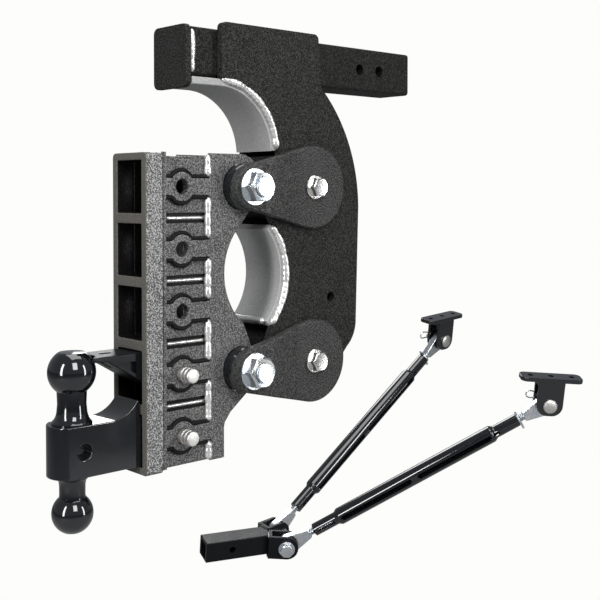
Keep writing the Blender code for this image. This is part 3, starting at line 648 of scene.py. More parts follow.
@dataclass(frozen=True)
class PowderCoat(Finish):
    """Textured charcoal powder coat with a light fleck."""

    dark: tuple[float, float, float] = (0.018, 0.018, 0.017)
    light: tuple[float, float, float] = (0.30, 0.30, 0.285)
    amount: float = 0.55
    scale: float = 620.0
    shine: float = 0.12

    def build(self) -> bpy.types.Material:
        """Make the material."""
        material, tree, shader, coordinates = self.start()
        coat = self.use_group(tree, "hammertone", {"Vector": coordinates, "Dark": (*self.dark, 1),
                                                   "Light": (*self.light, 1), "Amount": self.amount,
                                                   "Scale": self.scale})
        tree.links.new(coat.outputs["Color"], shader.inputs["Base Color"])
        tree.links.new(coat.outputs["Roughness"], shader.inputs["Roughness"])
        shader.inputs["Specular IOR Level"].default_value = self.shine
        self.emboss(tree, shader, coat.outputs["Height"])
        return material


@dataclass(frozen=True)
class GlossPaint(Finish):
    """Sprayed gloss black or a painted weld under a clear coat, or a matt near-black painted shade; the
    weld's light grey colour is partly a painted highlight.
    """

    colour: tuple[float, float, float] = (0.006, 0.0065, 0.008)
    smooth: float = 0.06
    cloudy: float = 0.15
    metal: float = 0.0
    coat: float = 0.6
    shine: float = 0.5

    def build(self) -> bpy.types.Material:
        """Make the material."""
        material, tree, shader, coordinates = self.start()
        peel = self.use_group(tree, "orange_peel", {"Vector": coordinates, "Smooth": self.smooth,
                                                    "Cloudy": self.cloudy})
        patch = add_node(tree, "ShaderNodeTexNoise", {"Vector": coordinates, "Scale": 55.0, "Detail": 3.0})
        brighter = tuple(1.5 * channel for channel in self.colour)
        colour = add_node(tree, "ShaderNodeMix", {"Factor": patch.outputs["Fac"], 6: (*self.colour, 1),
                                                  7: (*brighter, 1)}, data_type="RGBA")
        tree.links.new(colour.outputs[2], shader.inputs["Base Color"])
        tree.links.new(peel.outputs["Roughness"], shader.inputs["Roughness"])
        shader.inputs["Metallic"].default_value = self.metal
        shader.inputs["Coat Weight"].default_value = self.coat
        shader.inputs["Specular IOR Level"].default_value = self.shine
        shader.inputs["Coat Roughness"].default_value = 0.05
        self.emboss(tree, shader, peel.outputs["Height"])
        return material


@dataclass(frozen=True)
class Plated(Finish):
    """Zinc plate, turned stainless or plain steel."""

    cool: tuple[float, float, float] = (0.58, 0.64, 0.72)
    warm: tuple[float, float, float] = (0.80, 0.80, 0.78)
    rings: float = 0.0
    smooth: float = 0.16
    rough: float = 0.36

    def build(self) -> bpy.types.Material:
        """Make the material."""
        material, tree, shader, coordinates = self.start()
        metal = self.use_group(tree, "plated_metal", {"Vector": coordinates, "Cool": (*self.cool, 1),
                                                      "Warm": (*self.warm, 1), "Rings": self.rings,
                                                      "Smooth": self.smooth, "Rough": self.rough})
        tree.links.new(metal.outputs["Color"], shader.inputs["Base Color"])
        tree.links.new(metal.outputs["Roughness"], shader.inputs["Roughness"])
        shader.inputs["Metallic"].default_value = 1.0
        self.emboss(tree, shader, metal.outputs["Height"])
        return material


@dataclass(frozen=True)
class Rubber(Finish):
    """Matt bonded rubber."""

    def build(self) -> bpy.types.Material:
        """Make the material."""
        material, tree, shader, coordinates = self.start()
        peel = self.use_group(tree, "orange_peel", {"Vector": coordinates, "Scale": 500.0,
                                                    "Smooth": 0.7, "Cloudy": 0.9})
        shader.inputs["Base Color"].default_value = (0.02, 0.02, 0.02, 1)
        tree.links.new(peel.outputs["Roughness"], shader.inputs["Roughness"])
        self.emboss(tree, shader, peel.outputs["Height"])
        return material


class Finishes:
    """Every finish of the hitch, each made into a material once."""

    plate = PowderCoat("plate_powder_coat", Slot.PAINT, 0.5, dark=(0.006, 0.006, 0.0056),
                       light=(0.05, 0.05, 0.048), amount=0.7, shine=0.04)
    bar = PowderCoat("bar_powder_coat", Slot.PAINT, 0.25, dark=(0.006, 0.006, 0.0055),
                     light=(0.04, 0.04, 0.037), amount=0.6, shine=0.04)
    arm = PowderCoat("arm_powder_coat", Slot.PAINT, 0.5, dark=(0.012, 0.012, 0.0115),
                     light=(0.09, 0.09, 0.088), amount=0.75, shine=0.08)
    ladder = PowderCoat("ladder_powder_coat", Slot.PAINT, 0.55, dark=(0.02, 0.02, 0.0195),
                        light=(0.26, 0.26, 0.257), amount=0.65)
    # Painted light: the collar's sides, top and foot take this lighter copy of the collar's coat.
    side = PowderCoat("collar_side_painted_light", Slot.PAINT, 0.55, dark=(0.02, 0.02, 0.02),
                      light=(0.48, 0.48, 0.476), amount=0.7)
    collar = PowderCoat("collar_powder_coat", Slot.PAINT, 0.3, dark=(0.07, 0.066, 0.058),
                        light=(0.17, 0.16, 0.145), amount=0.4)
    # Painted shade: near black for the walls inside the slots, where shade falls.
    slot_shade = PowderCoat("slot_painted_shade", Slot.PAINT, 0.3, dark=(0.002, 0.002, 0.002),
                           light=(0.02, 0.02, 0.02), amount=0.5)
    # Painted light: the curved walls take a far lighter grey than the frame's plates, standing in for the
    # light they catch.
    wall = PowderCoat("wall_painted_light", Slot.PAINT, 0.15, dark=(0.27, 0.27, 0.267),
                      light=(0.42, 0.42, 0.415), amount=0.4)
    # Painted shade: matt near black for the grooves at the seams and the rims along the window bosses, where
    # shade falls.
    seam = GlossPaint("seam_painted_shade", Slot.PAINT, 0.1, 0.0003, colour=(0.004, 0.004, 0.004), smooth=0.45,
                      cloudy=0.6, coat=0.0, shine=0.1)
    gloss = GlossPaint("gloss_black", Slot.GLOSS, 0.04, 0.0003, colour=(0.0035, 0.004, 0.0052))
    satin = GlossPaint("satin_black", Slot.GLOSS, 0.04, 0.0003, colour=(0.004, 0.0045, 0.0055),
                       smooth=0.35, cloudy=0.45, coat=0.0, shine=0.15)
    # Partly painted highlight: the painted welds are light grey and part metallic, so they show bright
    # glints.
    weld = GlossPaint("weld_painted_highlight", Slot.PAINT, 0.3, 0.0006, colour=(0.5, 0.5, 0.49), smooth=0.2,
                      cloudy=0.42, metal=0.6)
    zinc = Plated("bright_zinc", Slot.ZINC, 0.12, 0.0001)
    flange = Plated("warm_zinc", Slot.ZINC, 0.12, 0.0001, cool=(0.66, 0.66, 0.66), warm=(0.84, 0.82, 0.78))
    bright = Plated("turned_steel", Slot.BRIGHT, 0.15, 0.0001, cool=(0.55, 0.54, 0.52),
                    warm=(0.72, 0.7, 0.67), rings=0.8, smooth=0.36, rough=0.55)
    steel = Plated("machined_steel", Slot.STEEL, 0.2, 0.0001, cool=(0.3, 0.3, 0.31),
                   warm=(0.4, 0.39, 0.38), rings=0.5)
    rubber = Rubber("bonded_rubber", Slot.RUBBER, 0.3, 0.0004)

    def __init__(self) -> None:
        """Make the shared groups; the materials are made as they are first asked for."""
        for make in (hammertone_group, peel_group, plating_group):
            make()
        self._made: dict[str, bpy.types.Material] = {}

    def material(self, finish: Finish) -> bpy.types.Material:
        """The material of a finish, made once."""
        if finish.name not in self._made:
            self._made[finish.name] = finish.build()
        return self._made[finish.name]


# ---------------------------------------------------------------------- workshop

class Workshop:
    """Turns shells into finished pieces that ride on CAD bodies and stand for CAD nodes."""

    def __init__(self, frame: dict) -> None:
        """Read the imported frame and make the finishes."""
        self.finishes = Finishes()
        self.joints = {joint["name"]: joint for joint in frame["joints"]}
        collar_low, collar_high = (np.array(corner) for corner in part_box("receiver_collar"))
        self.bench = Place(np.array([collar_low[0], 0.0, collar_low[2] + COLLAR_LIP]), np.eye(3))
        LOG.info("bench frame at %s, collar %.1f mm tall", self.bench.origin.round(4),
                 1000 * (collar_high[2] - collar_low[2]))

    def raw(self, name: str, shell: Shell, place: Place) -> bpy.types.Object:
        """Make an object of a shell, with its doubles merged and its faces pointing out.

        Args:
            name: name of the object.
            shell: its surface.
            place: the frame that the shell is drawn in.

        Returns:
            The object, in the scene.
        """
        placed = place.put(shell)
        mesh = bpy.data.meshes.new(name)
        mesh.from_pydata(placed.points.tolist(), [], placed.faces)
        work = bmesh.new()
        work.from_mesh(mesh)
        bmesh.ops.remove_doubles(work, verts=work.verts, dist=1e-6)
        bmesh.ops.dissolve_degenerate(work, edges=work.edges, dist=1e-7)
        bmesh.ops.recalc_face_normals(work, faces=work.faces)
        work.to_mesh(mesh)
        work.free()
        item = bpy.data.objects.new(name, mesh)
        bpy.context.scene.collection.objects.link(item)
        return item

    def shape(self, item: bpy.types.Object, tools: list[tuple[str, Shell]], place: Place) -> None:
        """Cut, join or intersect an item with tool shells and keep only the result.

        Args:
            item: the piece.
            tools: a Boolean operation and a shell each, in order.
            place: the frame that the shells are drawn in.
        """
        for number, (operation, shell) in enumerate(tools):
            tool = self.raw(f"{item.name}_tool_{number}", shell, place)
            boolean = item.modifiers.new("shape", "BOOLEAN")
            boolean.operation = operation
            boolean.object = tool
            graph = bpy.context.evaluated_depsgraph_get()
            result = bpy.data.meshes.new_from_object(item.evaluated_get(graph))
            item.modifiers.clear()
            item.data = result
            bpy.data.objects.remove(tool)

    def piece(self, name: str, shell: Shell, finish: Finish, body: str, place: Place | None = None,
              nodes: tuple[str, ...] = (), tools: list[tuple[str, Shell]] | None = None) -> bpy.types.Object:
        """Make a finished piece.

        Args:
            name: the piece's name.
            shell: its surface, in the place's coordinates.
            finish: its finish.
            body: the CAD body that it rides on.
            place: its frame, or the bench frame if none is given.
            nodes: CAD nodes that it stands for.
            tools: Boolean tools, in order.

        Returns:
            The piece.
        """
        place = place or self.bench
        item = self.raw(name, shell, place)
        if tools:
            self.shape(item, tools, place)
        item.data.materials.clear()
        item.data.materials.append(self.finishes.material(finish))
        item.data.shade_smooth()
        item.data.set_sharp_from_angle(angle=math.radians(38))
        even = item.modifiers.new("even_shading", "WEIGHTED_NORMAL")
        even.keep_sharp = True
        even.weight = 100
        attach(item, body)
        if nodes:
            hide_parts(*nodes)
        LOG.info("%s: %d faces on %s", name, len(item.data.polygons), body)
        return item

    def stand_in(self, node: str, shell: Shell, finish: Finish, body: str, place: Place | None = None,
                 tools: list[tuple[str, Shell]] | None = None) -> bpy.types.Object:
        """Make the finely surfaced piece that stands for one CAD node."""
        return self.piece(f"{node}_finished", shell, finish, body, place, (node,), tools)

    def second_coat(self, item: bpy.types.Object, finish: Finish, chosen: np.ndarray) -> None:
        """Give some faces of a piece another finish of the same slot.

        Args:
            item: the piece.
            finish: the other finish.
            chosen: true for each face that takes it.
        """
        index = np.empty(len(item.data.polygons), np.int32)
        item.data.polygons.foreach_get("material_index", index)
        index[chosen] = len(item.data.materials)
        item.data.materials.append(self.finishes.material(finish))
        item.data.polygons.foreach_set("material_index", index)

    def faces_of(self, item: bpy.types.Object) -> tuple[np.ndarray, np.ndarray]:
        """Middles and normals of a piece's faces."""
        middle, normal = (np.empty(3 * len(item.data.polygons)) for _ in range(2))
        item.data.polygons.foreach_get("center", middle)
        item.data.polygons.foreach_get("normal", normal)
        return middle.reshape(-1, 3), normal.reshape(-1, 3)


def block(x: tuple[float, float], y: tuple[float, float], z: tuple[float, float]) -> Shell:
    """A sharp block.

    Args:
        x: lowest and highest X.
        y: lowest and highest Y.
        z: lowest and highest Z.

    Returns:
        The closed shell.
    """
    corners = np.array([(x[0], z[0]), (x[1], z[0]), (x[1], z[1]), (x[0], z[1])])
    return plate(corners, *y, Axis.Y, edge=0.01 * MM, steps=1)


def bar_tool(a: float, b: float, radius: float, low: float, high: float, axis: Axis = Axis.Y) -> Shell:
    """A round bar that bores a hole."""
    return turned([(low, 0), (low, radius), (high, radius), (high, 0)], axis, (a, b), segments=48)


# ------------------------------------------------------------ welded C-shaped frame

@dataclass
class WeldedFrame:
    """The shank, its end cap, the C-shaped plates and the walls, housings and beads between them."""

    shop: Workshop
    body: str = "c_frame"
    shank: float = SHANK
    shank_x: tuple[float, float] = (72 * MM, 494 * MM)
    shank_z: float = 536 * MM
    cross_holes: tuple[float, float] = (386 * MM, 428 * MM)
    thick: float = SIDE_PLATE
    wall: float = 9.7 * MM
    wall_half: float = 38 * MM
    pivot_x: float = 270 * MM
    pivot_z: tuple[float, float] = (PIVOTS["upper"], PIVOTS["lower"])
    nose_x: float = 196 * MM
    plate_x: float = 116 * MM
    plate_top: float = 576.5 * MM
    upper_arc: tuple[float, float, float] = (118 * MM, 405 * MM, 98 * MM)
    lower_arc: tuple[float, float, float] = (132 * MM, 240 * MM, 101 * MM)
    back_arc: tuple[float, float, float] = (138.4 * MM, 330 * MM, 232.6 * MM)
    foot: tuple[float, float] = (366 * MM, 165 * MM)
    shaft: float = 20 * MM

    def plate_outline(self) -> np.ndarray:
        """Outline of a side plate, in X and Z."""
        corner, top = 8 * MM, self.plate_top
        return np.vstack([
            arc(self.plate_x + corner, top - corner, corner, 180, 90, 6),
            arc(290 * MM - corner, top - corner, corner, 90, 10, 6),
            arc(*self.back_arc, 47.7, 0, 40),
            arc(self.foot[0] - 48 * MM, self.foot[1], 48 * MM, 0, -52, 14),
            arc(self.pivot_x, self.pivot_z[1], 50 * MM, -40, -90, 14),
            arc(self.nose_x + 24 * MM, self.pivot_z[1] - 20 * MM, 24 * MM, -90, -180, 12),
            [(self.nose_x, 152 * MM)],
            arc(*self.lower_arc, -45.5, 43.9, 44),
            [(self.nose_x, 324 * MM), (self.nose_x, 394 * MM)],
            arc(*self.upper_arc, -1.8, 91.2, 44),
        ])

    def strip(self, spec: tuple[float, float, float], outer: float, start: float, stop: float) -> np.ndarray:
        """A curved strip of the wall's thickness under an outer radius."""
        a, b, _ = spec
        return np.vstack([arc(a, b, outer, start, stop, 40), arc(a, b, outer - self.wall, stop, start, 40)])

    def build_bar(self) -> None:
        """The shank with its two cross holes, and its end cap."""
        half, z = self.shank / 2, self.shank_z
        reach = half + 5 * MM
        section = rounded((-half, half), (z - half, z + half), 5 * MM)
        bores = [("DIFFERENCE", bar_tool(x, z, 8.2 * MM, -reach, reach)) for x in self.cross_holes]
        self.shop.stand_in("shank", plate(section, *self.shank_x, Axis.X, 1.2 * MM), Finishes.bar,
                           self.body, tools=bores)
        cap = rounded((-reach, reach), (488 * MM, z + half + 2 * MM), 9 * MM)
        back = self.shank_x[0] - GAP
        self.shop.stand_in("shank_end_cap", plate(cap, back - 8.4 * MM, back, Axis.X, 1.6 * MM),
                           Finishes.plate, self.body)

    def build_plates(self) -> None:
        """The two side plates."""
        inner = self.shank / 2 + GAP
        holes = [circle(self.pivot_x, z, self.shaft + 0.4 * MM) for z in self.pivot_z]
        holes.append(circle(314 * MM, 202 * MM, 7 * MM))
        for side, word in ((-1, "near"), (1, "far")):
            low, high = sorted((side * inner, side * (inner + self.thick)))
            shell = plate(self.plate_outline(), low, high, Axis.Y, 1.8 * MM, tuple(holes))
            self.shop.stand_in(f"{word}_side_plate", shell, Finishes.plate, self.body)

    def build_walls(self) -> None:
        """The two curved walls and the strip that closes the back."""
        _, b, radius = self.upper_arc
        outer, start = radius - 0.9 * MM, self.shank_x[0] + GAP
        curve = self.strip(self.upper_arc, outer, 3, 90)
        middle = len(curve) // 2
        tail = [(start, b + outer), (start, b + outer - self.wall)]
        upper = np.vstack([curve[:middle], tail, curve[middle:]])
        lower = self.strip(self.lower_arc, self.lower_arc[2] - 0.9 * MM, -45, 43)
        for word, outline in (("upper", upper), ("lower", lower)):
            shell = plate(outline, -self.wall_half, self.wall_half, Axis.Y, 1.4 * MM)
            # Painted light: the walls' light grey coat stands in for the light falling on them.
            self.shop.stand_in(f"{word}_curved_wall", shell, Finishes.wall, self.body)
        outer = self.back_arc[2] - 1.5 * MM
        x, z = self.foot
        outline = np.vstack([arc(*self.back_arc[:2], outer - self.wall, 46, 0, 30),
                             [(x - self.wall - 3 * MM, z), (x - 3 * MM, z)],
                             arc(*self.back_arc[:2], outer, 0, 46, 30)])
        half = self.shank / 2
        self.shop.stand_in("back_strip", plate(outline, -half, half, Axis.Y, 0.6 * MM), Finishes.plate,
                           self.body)

    def build_torsion(self) -> None:
        """The torsion housings and the rubber in them."""
        half = self.shank / 2
        for word, z in zip(("upper", "lower"), self.pivot_z):
            section = rounded((self.nose_x + 2 * MM, self.pivot_x + 46 * MM), (z - 44 * MM, z + 44 * MM),
                              20 * MM)
            shell = plate(section, -half, half, Axis.Y, 0.8 * MM, (circle(self.pivot_x, z, 38 * MM),))
            self.shop.stand_in(f"{word}_torsion_housing", shell, Finishes.plate, self.body)
            ends, inner, outer = half - 2 * MM, self.shaft + 0.8 * MM, 37.65 * MM
            ring = [(-ends, inner), (-ends, outer), (ends, outer), (ends, inner)]
            self.shop.stand_in(f"{word}_torsion_rubber", turned(ring, centre=(self.pivot_x, z), closed=True),
                               Finishes.rubber, self.body)

    def build_beads(self) -> None:
        """Beads along both edges of the walls, across the lower wall's foot and beside the end cap."""
        inset, radius = 1.5 * MM, 5.4 * MM
        for side, word in ((-1, "near"), (1, "far")):
            y = side * (self.wall_half + 0.8 * MM)
            for name, flat in (("upper", arc(*self.upper_arc[:2], self.upper_arc[2] - inset, 4, 89, 90)),
                               ("lower", arc(*self.lower_arc[:2], self.lower_arc[2] - inset, -44, 42, 90))):
                shell = weld_bead(route_of(flat[:, 0], y, flat[:, 1]), radius, (0, 1, 0),
                                  seed=len(name) * 7 + side)
                self.shop.piece(f"{name}_{word}_wall_bead", shell, Finishes.weld, self.body)
            z = np.linspace(508 * MM, 563 * MM, 20)
            route = route_of(self.shank_x[0] + 3 * MM, side * 33 * MM, z)
            self.shop.piece(f"{word}_cap_bead", weld_bead(route, 4.2 * MM, (0, 1, 0), seed=31 + side),
                            Finishes.weld, self.body)
        foot = arc(*self.lower_arc[:2], self.lower_arc[2] - self.wall - 1 * MM, -45, -44, 1)[0]
        y = np.linspace(-34 * MM, 34 * MM, 20)
        route = route_of(foot[0], y, foot[1])
        self.shop.piece("lower_foot_bead", weld_bead(route, 4.2 * MM, (0, 0, 1), seed=41), Finishes.weld,
                        self.body)

    def build(self) -> None:
        """Build the whole frame."""
        self.build_bar()
        self.build_plates()
        self.build_walls()
        self.build_torsion()
        self.build_beads()


# ------------------------------------------------------------------ suspension arms

@dataclass
class SuspensionArms:
    """The four forged arms, the shafts between them and the flange bolts on their frame ends."""

    shop: Workshop
    pivot_x: float = 270 * MM
    length: float = 118 * MM
    disc: float = 58 * MM
    boss: float = 30 * MM
    frame_y: tuple[float, float] = (45.3 * MM, 57.5 * MM)
    carrier_y: tuple[float, float] = (51.7 * MM, 66 * MM)
    edge: float = 2.8 * MM
    shaft: float = 20 * MM
    small_bolt: float = 8 * MM
    big_bolt: float = 12.7 * MM

    def arm_shell(self, side: int) -> Shell:
        """A forged arm.

        Its outline wraps two circles on a spine that joins their middles. Each point of the surface is
        the spine's point, plus a share of the way to the outline, at the depth of a rim profile. Its
        depth then moves outwards by a smooth step of the distance along the arm.
        """
        slope = math.degrees(math.asin((self.disc - self.boss) / self.length))
        right = arc(0, 0, self.disc, -90 - slope, 90 + slope, 60)
        left = arc(-self.length, 0, self.boss, 90 + slope, 270 - slope, 36)
        share = np.linspace(0, 1, 16)[1:-1, None]
        over = right[-1] * (1 - share) + left[0] * share
        under = left[-1] * (1 - share) + right[0] * share
        rim = np.vstack([right, over, left, under])
        far_end = np.array([[-self.length, 0.0]])
        middle = np.vstack([np.zeros((len(right), 2)), share * far_end, np.repeat(far_end, len(left), axis=0),
                            (1 - share) * far_end])
        reach = np.linalg.norm(rim - middle, axis=1)[:, None]
        turn = np.linspace(0, math.pi / 2, 5)
        face, rim_rows = np.linspace(1, 0.12, 6), np.zeros(2 * len(turn))
        inset = np.r_[face, rim_rows, face[::-1]]
        narrow, rise = self.edge * (1 - np.sin(turn)), self.edge * (1 - np.cos(turn))
        flat_cut = np.full(len(face), self.edge)
        cut = np.r_[flat_cut, narrow, narrow[::-1], flat_cut]
        total = self.frame_y[1] - self.frame_y[0]
        depth = np.r_[np.zeros(len(face)), rise, total - rise[::-1], np.full(len(face), total)]
        way = np.maximum(0.0, (1 - inset[:, None, None]) - cut[:, None, None] / reach[None])
        flat = middle[None] + way * (rim - middle)[None]
        start, stop = -26 * MM, -self.length + 34 * MM
        smooth = np.clip((start - flat[..., 0]) / (start - stop), 0, 1)
        smooth = smooth * smooth * (3 - 2 * smooth)
        share_depth = depth[:, None] / total
        near = self.frame_y[0] + smooth * (self.carrier_y[0] - self.frame_y[0])
        far = self.frame_y[1] + smooth * (self.carrier_y[1] - self.frame_y[1])
        y = side * (near + share_depth * (far - near))
        points = np.stack([flat[..., 0], y, flat[..., 1]], -1)
        return Shell(points.reshape(-1, 3), grid_faces(len(depth), len(rim)))

    def flange_bolt(self, side: int, start: float, face: float) -> Shell:
        """A flange bolt: shank, washer face and chamfered hexagonal head.

        Args:
            side: -1 for the near side, 1 for the far one.
            start: distance of the shank's inner end.
            face: distance of the washer face.

        Returns:
            The closed shell.
        """
        flats = 25 * MM
        rows = [(start, 0), (start, self.small_bolt), (face, self.small_bolt), (face, 16.6 * MM),
                (face + 1.2 * MM, 16.8 * MM), (face + 2.6 * MM, 15.6 * MM)]
        head = hex_rows(face + 2.6 * MM, face + 13.2 * MM, flats)
        dish = [(face + 12.7 * MM, 0.38 * flats), (face + 12.7 * MM, 0)]
        return turned([(side * row[0], *row[1:]) for row in rows + head + dish])

    def build(self) -> None:
        """Build both pairs of arms."""
        shaft_end = SHANK / 2 + GAP + SIDE_PLATE + GAP
        for word, z in PIVOTS.items():
            body = f"{word}_arms"
            place = self.shop.bench.moved(x=self.pivot_x, z=z)
            core = [(-shaft_end, 0), (-shaft_end, self.shaft), (shaft_end, self.shaft), (shaft_end, 0)]
            self.shop.stand_in(f"{word}_torsion_shaft", turned(core), Finishes.steel, body, place)
            for side, hand in ((-1, "near"), (1, "far")):
                reach = sorted((side * 40 * MM, side * 80 * MM))
                bores = [("DIFFERENCE", bar_tool(0, 0, self.small_bolt + GAP, *reach)),
                         ("DIFFERENCE", bar_tool(-self.length, 0, self.big_bolt + GAP, *reach))]
                self.shop.stand_in(f"{word}_{hand}_arm", self.arm_shell(side), Finishes.arm, body, place,
                                   bores)
                bolt = self.flange_bolt(side, shaft_end + 0.2 * MM, self.frame_y[1] + GAP)
                self.shop.stand_in(f"{word}_{hand}_arm_bolt", bolt, Finishes.flange, body, place)


# ------------------------------------------------------------------ slotted receiver

@dataclass
class Receiver:
    """The slotted receiver, its side ladders, its pivots and the ball mount pinned in it."""

    shop: Workshop
    body: str = "carrier"
    slots: int = 5
    pitch: float = 80 * MM
    slot: tuple[float, float] = (54 * MM, 66.6 * MM)
    collar: tuple[float, float] = (26 * MM, 38.1 * MM)
    box_half: float = 32.4 * MM
    box_back: float = 104 * MM
    pin_x: float = 56 * MM
    pin_hole: float = 9.9 * MM
    window: tuple[float, float] = (31 * MM, 100 * MM)
    window_edge: float = 11 * MM
    pin_boss: float = 19 * MM
    pivot_x: float = 152 * MM
    pivots: dict[str, float] = field(default_factory=lambda: dict(PIVOTS))
    ball_x: float = -83 * MM
    top: float = 404 * MM

    def pin_z(self, index: int) -> float:
        """Height of a pin hole."""
        return self.pitch * (index + 0.5)

    def slot_holes(self) -> tuple[np.ndarray, ...]:
        """Outlines of the slots, in Y and Z."""
        wide, tall = self.slot[0] / 2, self.slot[1] / 2
        return tuple(rounded((-wide, wide), (self.pin_z(i) - tall, self.pin_z(i) + tall), 1.6 * MM, 4)
                     for i in range(self.slots))

    def boss_edge(self, z: float, way: int) -> np.ndarray:
        """Edge of a window, left to right, that steps round a pin boss above (1) or below (-1) it.

        Args:
            z: height of the boss.
            way: 1 or -1.

        Returns:
            Points of the edge, in X and Z.
        """
        reach = math.degrees(math.asin(self.window_edge / self.pin_boss))
        bump = arc(self.pin_x, 0, self.pin_boss, 180 - reach, reach, 14)
        edge = np.vstack([[(self.window[0], self.window_edge)], bump, [(self.window[1], self.window_edge)]])
        return edge * [1, way] + [0, z]

    def window_outline(self, index: int) -> np.ndarray:
        """Outline of the window under pin hole number index, from the open foot to the open top."""
        left, right = self.window
        low, high = np.array([(left, 0), (right, 0)]), np.array([(left, self.top), (right, self.top)])
        if index > 0:
            low = self.boss_edge(self.pin_z(index - 1), 1)
        if index < self.slots:
            high = self.boss_edge(self.pin_z(index), -1)
        return np.vstack([low, high[::-1]])

    def ladder_outline(self) -> np.ndarray:
        """Outline of a side ladder in X and Z, notched at its foot and top by the end windows."""
        start, top, boss = self.collar[0] + GAP, self.top, 34 * MM
        foot, notch = 1 * MM, self.boss_edge(self.pin_z(0), -1)
        return np.vstack([
            [(start, top), (self.window[0], top)],
            self.boss_edge(self.pin_z(self.slots - 1), 1),
            [(self.window[1], top)],
            arc(self.pivot_x, top - boss, boss, 90, 0, 18),
            arc(self.pivot_x, self.pivots["upper"], boss, -8, -58, 12),
            arc(212 * MM, 245 * MM, 88 * MM, 135, 231, 30),
            arc(self.pivot_x, self.pivots["lower"], boss, 58, -66, 18),
            [(134 * MM, 60 * MM)],
            arc(141 * MM, 40 * MM, 18 * MM, 150, 180, 6),
            [(123 * MM, foot), (self.window[1], foot)],
            notch[::-1],
            [(self.window[0], foot), (start, foot)],
        ])

    def build_collar(self) -> None:
        """The collar: its sides painted lighter than its front as painted light, and the inside of its slots
        painted near black as painted shade.
        """
        deep, half = self.collar
        foot, top = -COLLAR_LIP, self.slots * self.pitch + COLLAR_LIP
        section = rounded((-half, half), (foot, top), 6 * MM)
        item = self.shop.stand_in("receiver_collar",
                                  plate(section, 0, deep, Axis.X, 1.8 * MM, self.slot_holes()),
                                  Finishes.collar, self.body)
        middle, normal = self.shop.faces_of(item)
        level = middle[:, 2] - self.shop.bench.origin[2]
        across = np.abs(normal[:, 0]) < 0.6
        inside = np.abs(middle[:, 1]) < self.slot[0] / 2 + 0.5 * MM
        within = (level > foot + 5 * MM) & (level < top - 5 * MM)
        # Painted light: every collar face that doesn't face along X takes the lighter side coat.
        self.shop.second_coat(item, Finishes.side, across & ~(inside & within))
        # Painted shade: the collar's walls inside its slots are painted near black.
        self.shop.second_coat(item, Finishes.slot_shade, across & inside & within)

    def build_box(self) -> None:
        """The box of slots, with two grooves at each seam of the stacked tubes and a bead between them; the
        grooves and the slots' walls are painted near black as painted shade.
        """
        deep, outer = self.collar[0], self.box_half
        section = rounded((-outer, outer), (1 * MM, 399 * MM), 3 * MM)
        box = plate(section, deep + GAP, self.box_back, Axis.X, 0.8 * MM, self.slot_holes())
        reach = outer + 5 * MM
        tools = [("DIFFERENCE", bar_tool(self.pin_x, self.pin_z(i), self.pin_hole, -reach, reach))
                 for i in range(self.slots)]
        depth, slit, seam_offset = 2.2 * MM, 2.2 * MM, 4.6 * MM
        for index in range(1, self.slots):
            for offset in (-seam_offset, seam_offset):
                z = index * self.pitch + offset
                for side in (-1, 1):
                    y = sorted((side * (outer - depth), side * reach))
                    groove = block((deep - MM, self.box_back + MM), tuple(y), (z - slit, z + slit))
                    tools.append(("DIFFERENCE", groove))
        item = self.shop.stand_in("receiver_box", box, Finishes.ladder, self.body, tools=tools)
        middle, _ = self.shop.faces_of(item)
        level = middle[:, 2] - self.shop.bench.origin[2]
        # Painted shade: the box's faces within the slots' width are painted near black.
        self.shop.second_coat(item, Finishes.slot_shade, np.abs(middle[:, 1]) < self.slot[0] / 2 + 0.5 * MM)
        from_seam = np.abs((level + self.pitch / 2) % self.pitch - self.pitch / 2)
        near_seam = np.abs(from_seam - seam_offset) < slit + 0.2 * MM
        sunk = (np.abs(middle[:, 1]) < outer - 0.4 * MM) & (np.abs(middle[:, 1]) > self.slot[0] / 2 + MM)
        # Painted shade: the faces sunk in the grooves are painted near black.
        self.shop.second_coat(item, Finishes.seam, near_seam & sunk)
        x = np.linspace(self.window[0] + 4 * MM, self.window[1] - 8 * MM, 24)
        for index in range(1, self.slots):
            for side, word in ((-1, "near"), (1, "far")):
                route = route_of(x, side * (outer - 0.4 * MM), index * self.pitch)
                shell = weld_bead(route, 1.6 * MM, (0, 1, 0), 80 + index)
                self.shop.piece(f"{word}_seam_bead_{index}", shell, Finishes.weld, self.body)

    def build_ladders(self) -> None:
        """The side ladders, the bead down the back edge of each window, and near-black rims along the boss
        edges as painted shade.
        """
        bores = [circle(self.pin_x, self.pin_z(i), self.pin_hole) for i in range(self.slots)]
        bores += [circle(self.pivot_x, z, 30.3 * MM) for z in self.pivots.values()]
        windows = [self.window_outline(i) for i in range(1, self.slots)]
        outer, inner = self.collar[1], self.box_half + GAP
        for side, word in ((-1, "near"), (1, "far")):
            low, high = sorted((side * inner, side * outer))
            shell = plate(self.ladder_outline(), low, high, Axis.Y, 1.1 * MM, tuple(bores + windows))
            self.shop.stand_in(f"{word}_side_ladder", shell, Finishes.ladder, self.body)
            x, y = self.window[1] - 1.2 * MM, side * (outer - 3.4 * MM)
            for index, outline in enumerate([self.window_outline(i) for i in range(self.slots + 1)]):
                right = outline[np.isclose(outline[:, 0], self.window[1]), 1]
                z = np.linspace(right.min() + 2 * MM, right.max() - 2 * MM, 16)
                shell = weld_bead(route_of(x, y, z), 4.8 * MM, (0, 1, 0), 50 + index)
                self.shop.piece(f"{word}_window_bead_{index}", shell, Finishes.weld, self.body)
            # Painted shade: a near-black tube along each boss edge of the windows, where shade falls in the
            # recess.
            for index in range(self.slots):
                for way in (-1, 1):
                    edge = self.boss_edge(self.pin_z(index), way)[:-1]
                    edge = np.vstack([edge, [[x - 3 * MM, edge[-1, 1]]]])
                    route = route_of(edge[:, 0], side * (outer - 2.9 * MM), edge[:, 1] + way * 2.4 * MM)
                    shell = swept(route, np.full(len(route), 2.8 * MM), (0, 1, 0))
                    self.shop.piece(f"{word}_window_rim_{index}_{'over' if way > 0 else 'under'}", shell,
                                    Finishes.seam, self.body)

